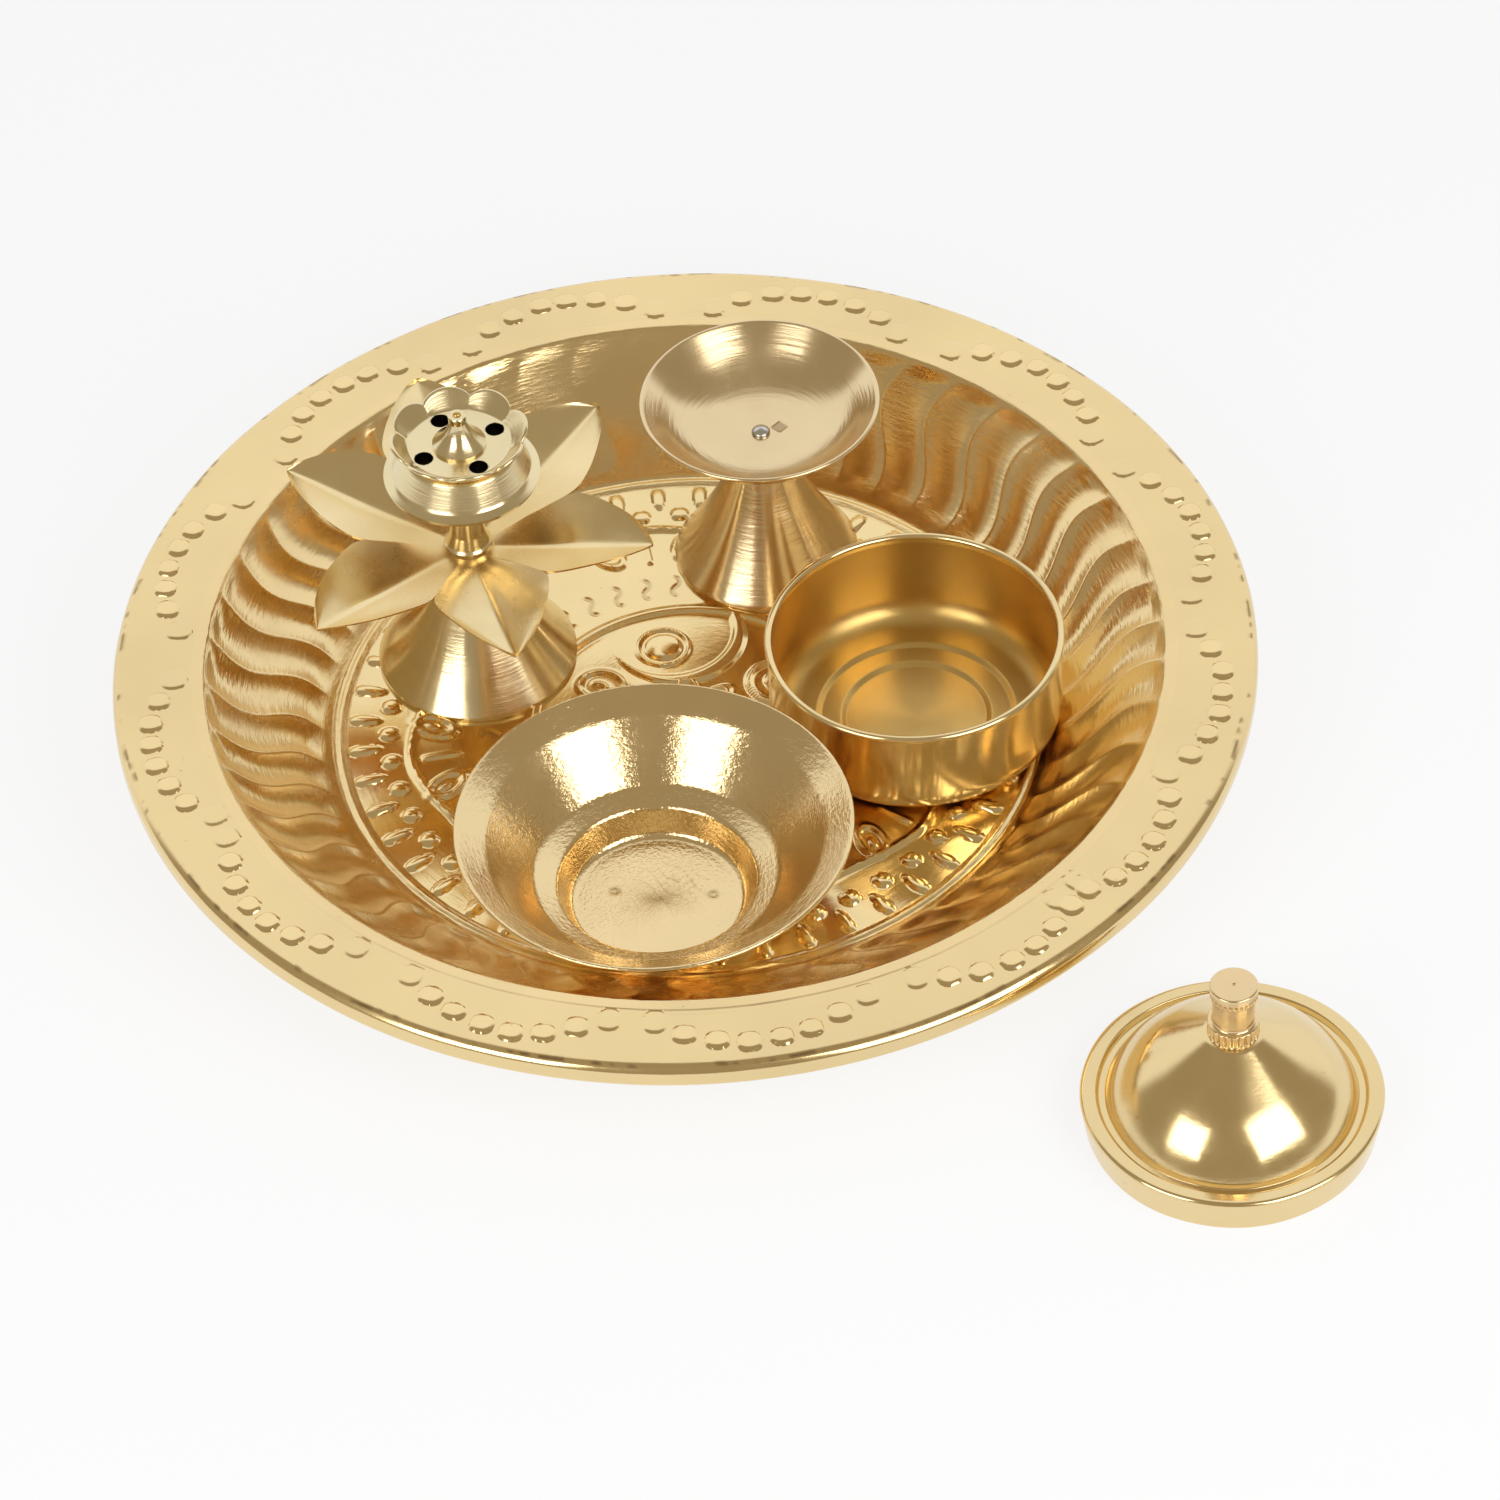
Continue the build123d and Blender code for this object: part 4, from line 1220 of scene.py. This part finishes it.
def petal_skin(place, turn, tip, gaps, seed):
    """One folded petal. Along it runs a keel that rises from the hub and turns up at the tip; across it
    both halves rise from the keel at the fold angle, out to the half width of each side. The ring of each
    row goes over the upper face and back under the lower one."""
    hand = np.random.default_rng(seed)
    share = np.linspace(0, 1, PETAL_ROWS)[:, None]
    across = np.linspace(-1, 1, PETAL_COLUMNS)[None, :]
    far = PETAL_ROOT + share * (tip - PETAL_ROOT)
    right, left = (petal_half_width(far, tip, gap) for gap in gaps)
    free = smoothstep(0.35, 0.9, share)
    ripple = 1 + 0.03 * free * np.sin(9 * share + hand.uniform(0, 6))
    side = np.where(across < 0, right, left) * across * ripple
    keel = np.tan(radians(PETAL_LIFT)) * (far - PETAL_ROOT) + hand.normal(0.6, 0.5) * free * share**2
    fold = np.tan(radians(PETAL_FOLD)) * (np.sqrt(side**2 + 0.16) - 0.4)
    curl = hand.normal(0.5, 0.2) * free * across**4
    height = keel + fold * smoothstep(-0.12, 0.25, share) + curl
    side = side + hand.normal(0, 0.015) * free * (far - PETAL_ROOT)
    sheet = PETAL_SHEET * (1 - 0.5 * share)
    ring_far = np.broadcast_to(far, (PETAL_ROWS, 2 * PETAL_COLUMNS))
    ring_side = np.concatenate([side, side[:, ::-1]], 1)
    ring_up = np.concatenate([height + sheet, height[:, ::-1]], 1)
    swing = radians(turn)
    x = place[0] + ring_far * cos(swing) - ring_side * sin(swing)
    y = place[1] + ring_far * sin(swing) + ring_side * cos(swing)
    grid = np.stack([x, y, place[2] + ring_up], -1)[:, ::-1]
    ends = [np.broadcast_to(grid[row].mean(0), grid[row].shape)[None] for row in (0, -1)]
    grid = np.concatenate([ends[0], grid, ends[1]])
    along = np.concatenate([far[:1, 0], far[:, 0], far[-1:, 0]])
    # Painted reflection: the petals are tinted amber towards the hub
    return skin(grid, along, PETAL_HUB_REFLECTION * smoothstep(24, 8, along)[:, None])


def cup_shape(radius, height, angle):
    """Lobes: beyond the floor the wall's reach and height swell and shrink eight times round, so that its
    edge is scalloped."""
    lobe = np.abs(np.cos(CUP_LOBES / 2 * (angle - CUP_OFFSET))) ** 0.55
    beyond = smoothstep(CUP_FLOOR - 0.2, CUP_FLOOR + 1.0, radius)
    spread_out = CUP_FLOOR + (radius - CUP_FLOOR) * (0.62 + 0.42 * lobe)
    rise = height * (0.55 + 0.45 * lobe)
    return radius + beyond * (spread_out - radius), height + beyond * (rise - height)


def drill_stick_holes(piece, place, low, high):
    """Cuts the four stick holes through a piece with one cutter of four straight rods, and blackens their
    walls with soot."""
    ring = round_angles(STICK_HOLES) + radians(STICK_START)
    profile = np.array([(0, high), (STICK_HOLE, high), (STICK_HOLE, low), (0, low)])
    centres = place[:2] + np.stack(flat(STICK_CIRCLE, ring), 1)
    rods = [turned(profile, SIDES["stick_rods"], (x, y, 0)) for x, y in centres]
    material = piece.data.materials[0]
    cutter = add_piece("stick_rods", rods, material, "incense_stand", "incense_brass")
    change = piece.modifiers.new("stick_holes", "BOOLEAN")
    change.object = cutter
    change.operation = "DIFFERENCE"
    change.solver = "EXACT"
    bpy.context.view_layer.update()
    graph = bpy.context.evaluated_depsgraph_get()
    drilled = bpy.data.meshes.new_from_object(piece.evaluated_get(graph))
    piece.modifiers.clear()
    piece.data = drilled
    points = np.empty(3 * len(drilled.vertices), np.float32)
    drilled.vertices.foreach_get("co", points)
    gap = np.hypot(*(points.reshape(-1, 1, 3)[:, :, :2] / MM - centres).transpose(2, 0, 1)).min(1)
    # Painted shade: the walls of the stick holes are painted black
    hole_shade = (gap < STICK_HOLE + 0.02).astype(np.float32)
    drilled.attributes["stain_and_shade"].data.foreach_set("value", hole_shade)
    finish_mesh(drilled, material)
    bpy.data.objects.remove(cutter)


def build_petals():
    """The lotus: a small disc on the cone's crown and the petals that are folded up from it."""
    crown = standing("incense_cone_base") + (0, 0, reach("incense_cone_base")[1])
    disc = turned(np.array(PETAL_DISC), SIDES["petal_disc"], crown)
    turns = [turn for turn, tip in PETALS]
    gaps = np.diff(turns, append=turns[0] + 360)
    petals = [
        petal_skin(crown, turn, tip, (gaps[number - 1], gaps[number]), number)
        for number, (turn, tip) in enumerate(PETALS)
    ]
    matt = metal_finish("petal_brass")
    add_piece("lotus_petals", [disc, *petals], matt, "incense_stand", "petal_brass", "lotus_petal_disc")


def build_incense_stand():
    """The incense stand: cone, folded petals, stem, bell, lobed cup and finial, stacked on one axis."""
    stand = ("incense_stand", "incense_brass")
    cone = cone_profile("incense_cone_base", INCENSE_CONE_CROWN)
    add_turned("incense_cone", cone, *stand, "incense_cone_base")
    build_petals()
    stem = rounded_line(STEM_CORNERS, STEM_BENDS, 0.35)
    add_turned("stem", stem, *stand, "incense_stem")

    foot, top = standing("incense_bell"), reach("incense_bell")[1]
    line = rounded_line(((0, top), (BELL_SHOULDER, top), *BELL_SKIRT), (0.8, 1.6), 0.3)
    under = rounded_line(BELL_INSIDE, (0.3, 0.3, 0.6, 0.8), 0.5)
    bell = add_turned("bell", np.vstack([line, under[::-1]]), *stand, "incense_bell")
    drill_stick_holes(bell, foot, foot[2] - 1.0, foot[2] + top + 3.0)

    foot = standing("incense_flower_cup")
    line = rounded_line(((0, CUP_SHEET), (CUP_FLOOR, CUP_SHEET), CUP_EDGE), (0.9,), 0.25)
    profile = sheet_profile(line, CUP_SHEET)
    cup = add_turned("flower_cup", profile, *stand, "incense_flower_cup", cup_shape)
    drill_stick_holes(cup, foot, foot[2] - 2.0, foot[2] + 3.0)

    finial = np.vstack([FINIAL_BUTTON, arc_through(*FINIAL_FLANK, 24), FINIAL_FOOT])
    add_turned("finial", finial, *stand, "incense_finial_nut")


def finish_fasteners():
    """Steel on the fasteners that keep their solids."""
    steel = metal_finish("fastener_steel")
    for name in ("lid_knob_screw", "incense_tie_rod", "incense_base_washer", "incense_base_nut"):
        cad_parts[name].data.materials.clear()
        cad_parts[name].data.materials.append(steel)


# Stage


RIM_CENTRE_PIXEL = (684.0, 645.5)
PHOTO_SIZE = 1500.0
SENSOR = 36.0
# Bearing and elevation of each softbox, and the width and height that it fills, in degrees
SOFTBOXES = {"right": (137.0, 31.0, 35.0, 33.0), "left": (-141.0, 29.0, 29.0, 29.0)}
SOFTBOX_DISTANCE = 0.75
SOFTBOX_AIM = (0, -0.02, 0.02)
BACKDROP_FADE = (0.29, 0.47)
SOFT_LIGHT = 0.55
TABLE_WHITE = 0.8
TABLE_TONES = (0.90, 0.93)
TABLE_WAVES = 3.0
TABLE_HALF = 2.5
GLOSSY_BOUNCES = 10


def add_camera():
    """Camera whose view of the rim's centre falls on its pixel of the photograph."""
    look = settings().stage
    forward = Vector((0, cos(look.elevation), -sin(look.elevation)))
    level = Vector((1, 0, 0))
    rise = level.cross(forward)
    right = cos(look.roll) * level + sin(look.roll) * rise
    up = cos(look.roll) * rise - sin(look.roll) * level
    focal = look.lens / SENSOR * PHOTO_SIZE
    across, down = ((pixel - PHOTO_SIZE / 2) / focal for pixel in RIM_CENTRE_PIXEL)
    rim_centre = Vector((0, 0, (PLATE_SHEET + WELL_DEPTH) * MM))
    place = rim_centre - (forward + across * right - down * up) * look.distance
    lens = bpy.data.cameras.new("view")
    lens.lens = look.lens
    lens.sensor_width = SENSOR
    lens.clip_start = 0.01
    camera = bpy.data.objects.new("view", lens)
    turn = Matrix((right, up, -forward)).transposed().to_4x4()
    camera.matrix_world = Matrix.Translation(place) @ turn
    bpy.context.scene.collection.objects.link(camera)
    bpy.context.scene.camera = camera


def add_softboxes():
    """Two softboxes on the camera's side, each sized by the angle it fills."""
    level = settings().stage.softbox_level
    for name, angles in SOFTBOXES.items():
        bearing, elevation, wide, tall = (radians(part) for part in angles)
        outward = cos(elevation)
        way = Vector((sin(bearing) * outward, cos(bearing) * outward, sin(elevation)))
        lamp = bpy.data.lights.new(f"softbox_{name}", "AREA")
        lamp.shape = "RECTANGLE"
        lamp.size = 2 * SOFTBOX_DISTANCE * tan(wide / 2)
        lamp.size_y = 2 * SOFTBOX_DISTANCE * tan(tall / 2)
        lamp.energy = level * pi * lamp.size * lamp.size_y
        holder = bpy.data.objects.new(lamp.name, lamp)
        holder.location = Vector(SOFTBOX_AIM) + SOFTBOX_DISTANCE * way
        holder.rotation_euler = way.to_track_quat("Z", "Y").to_euler()
        bpy.context.scene.collection.objects.link(holder)


def shown(tree):
    """1 where a ray comes from the camera or off a mirror or through glass, and 0 for plain light."""
    path = add_node(tree, "ShaderNodeLightPath").outputs
    mirrored = reckon(tree, "MAXIMUM", path["Is Glossy Ray"], path["Is Transmission Ray"])
    return reckon(tree, "MAXIMUM", mirrored, path["Is Camera Ray"])


def mix_to_output(tree, share, first, second, kind):
    """Mix of two shader nodes, on the tree's output."""
    mixed = add_node(tree, "ShaderNodeMixShader", {0: share, 1: first.outputs[0], 2: second.outputs[0]})
    tree.links.new(mixed.outputs[0], add_node(tree, kind).inputs["Surface"])


def add_studio():
    """World: pale behind the set and dim in front of it where it is seen or mirrored, and plain soft light
    everywhere else."""
    look = settings().stage
    world = bpy.data.worlds.new("studio")
    world.use_nodes = True
    bpy.context.scene.world = world
    tree = world.node_tree
    tree.nodes.clear()
    way = add_node(tree, "ShaderNodeTexCoord").outputs["Generated"]
    back = add_node(tree, "ShaderNodeSeparateXYZ", {"Vector": way}).outputs["Y"]
    fade = {"Value": back, "From Min": BACKDROP_FADE[0], "From Max": BACKDROP_FADE[1]}
    pale = add_node(tree, "ShaderNodeMapRange", fade, interpolation_type="SMOOTHSTEP").outputs["Result"]
    colour = blend_colours(tree, pale, opaque(look.dark_side), opaque(look.backdrop))
    seen = add_node(tree, "ShaderNodeBackground", {"Color": colour, "Strength": 1.0})
    light = {"Color": opaque(look.backdrop), "Strength": SOFT_LIGHT}
    soft = add_node(tree, "ShaderNodeBackground", light)
    mix_to_output(tree, shown(tree), soft, seen, "ShaderNodeOutputWorld")


def add_floor():
    """Plain white table top, as a grid so large that its edge is out of view."""
    span = np.linspace(-TABLE_HALF, TABLE_HALF, 3)
    x, y = np.meshgrid(span, span)
    points = np.stack([x.ravel(), y.ravel(), np.zeros(x.size)], 1)
    rows = np.arange(2)
    corner = (rows[:, None] * 3 + rows[None, :]).ravel()
    quads = np.stack([corner, corner + 1, corner + 4, corner + 3], 1)
    mesh = bpy.data.meshes.new("table")
    mesh.from_pydata(points.tolist(), [], quads.tolist())
    material = bpy.data.materials.new("table_white")
    material.use_nodes = True
    tree = material.node_tree
    tree.nodes.clear()
    place = add_node(tree, "ShaderNodeTexCoord").outputs["Object"]
    darker, lighter = (opaque([tone] * 3) for tone in TABLE_TONES)
    tone = blend_colours(tree, noise(tree, place, TABLE_WAVES), darker, lighter)
    paper = add_node(tree, "ShaderNodeBsdfDiffuse", {"Color": tone})
    white = add_node(tree, "ShaderNodeEmission", {"Strength": 1.0})
    share = reckon(tree, "MULTIPLY", shown(tree), TABLE_WHITE)
    mix_to_output(tree, share, paper, white, "ShaderNodeOutputMaterial")
    mesh.materials.append(material)
    table = bpy.data.objects.new("table", mesh)
    bpy.context.scene.collection.objects.link(table)


# Operators, panel and registration


class THALI_OT_plate(bpy.types.Operator):
    """Press the plate: medallion, border, fluted wall, beaded rim and hem"""

    bl_idname = "thali.plate"
    bl_label = "Plate"

    def execute(self, context):
        build_plate()
        return {"FINISHED"}


class THALI_OT_katori(bpy.types.Operator):
    """Spin the katori bowl"""

    bl_idname = "thali.katori"
    bl_label = "Katori"

    def execute(self, context):
        build_katori()
        return {"FINISHED"}


class THALI_OT_pot(bpy.types.Operator):
    """Draw the pot with its rolled lip"""

    bl_idname = "thali.pot"
    bl_label = "Pot"

    def execute(self, context):
        build_pot()
        return {"FINISHED"}


class THALI_OT_lid(bpy.types.Operator):
    """Spin the lid and turn its knob"""

    bl_idname = "thali.lid"
    bl_label = "Lid and knob"

    def execute(self, context):
        build_lid()
        return {"FINISHED"}


class THALI_OT_diya(bpy.types.Operator):
    """Make the diya's bowl, cone and rivet"""

    bl_idname = "thali.diya"
    bl_label = "Diya"

    def execute(self, context):
        build_diya()
        return {"FINISHED"}


class THALI_OT_incense_stand(bpy.types.Operator):
    """Stack the incense stand from its cone to its finial"""

    bl_idname = "thali.incense_stand"
    bl_label = "Incense stand"

    def execute(self, context):
        build_incense_stand()
        return {"FINISHED"}


class THALI_OT_fasteners(bpy.types.Operator):
    """Give the hidden rod, nut, washer and screw their steel"""

    bl_idname = "thali.fasteners"
    bl_label = "Fasteners"

    def execute(self, context):
        finish_fasteners()
        return {"FINISHED"}


class THALI_OT_stage(bpy.types.Operator):
    """Set the table, the softboxes, the studio and the camera"""

    bl_idname = "thali.stage"
    bl_label = "Stage"

    def execute(self, context):
        add_floor()
        add_softboxes()
        add_studio()
        add_camera()
        context.scene.view_settings.view_transform = "Standard"
        context.scene.cycles.glossy_bounces = GLOSSY_BOUNCES
        return {"FINISHED"}


OPERATORS = (
    THALI_OT_plate,
    THALI_OT_katori,
    THALI_OT_pot,
    THALI_OT_lid,
    THALI_OT_diya,
    THALI_OT_incense_stand,
    THALI_OT_fasteners,
    THALI_OT_stage,
)


class THALI_PT_panel(bpy.types.Panel):
    """Buttons and settings of the thali"""

    bl_idname = "THALI_PT_panel"
    bl_label = "Puja Thali"
    bl_space_type = "VIEW_3D"
    bl_region_type = "UI"
    bl_category = "Thali"

    def draw(self, context):
        for operator in OPERATORS:
            self.layout.operator(operator.bl_idname)
        for group in context.scene.thali.bl_rna.properties:
            if group.type != "POINTER" or group.identifier == "rna_type":
                continue
            box = self.layout.box()
            box.label(text=group.name)
            part = getattr(context.scene.thali, group.identifier)
            for field in part.__annotations__:
                box.prop(part, field)


CLASSES = (
    *FINISHES.values(),
    ThaliPlateSettings,
    ThaliStageSettings,
    ThaliSettings,
    *OPERATORS,
    THALI_PT_panel,
)


def register():
    """Registers the classes and puts the settings on the scene."""
    for kind in CLASSES:
        bpy.utils.register_class(kind)
    bpy.types.Scene.thali = PointerProperty(type=ThaliSettings)


def unregister():
    """Takes the settings and the classes away again."""
    del bpy.types.Scene.thali
    for kind in reversed(CLASSES):
        bpy.utils.unregister_class(kind)


def main():
    """Registers the add-on, makes every piece and the stage, and writes the two boxes."""
    register()
    for operator in OPERATORS:
        group, name = operator.bl_idname.split(".")
        getattr(getattr(bpy.ops, group), name)()


if __name__ == "__main__":
    main()
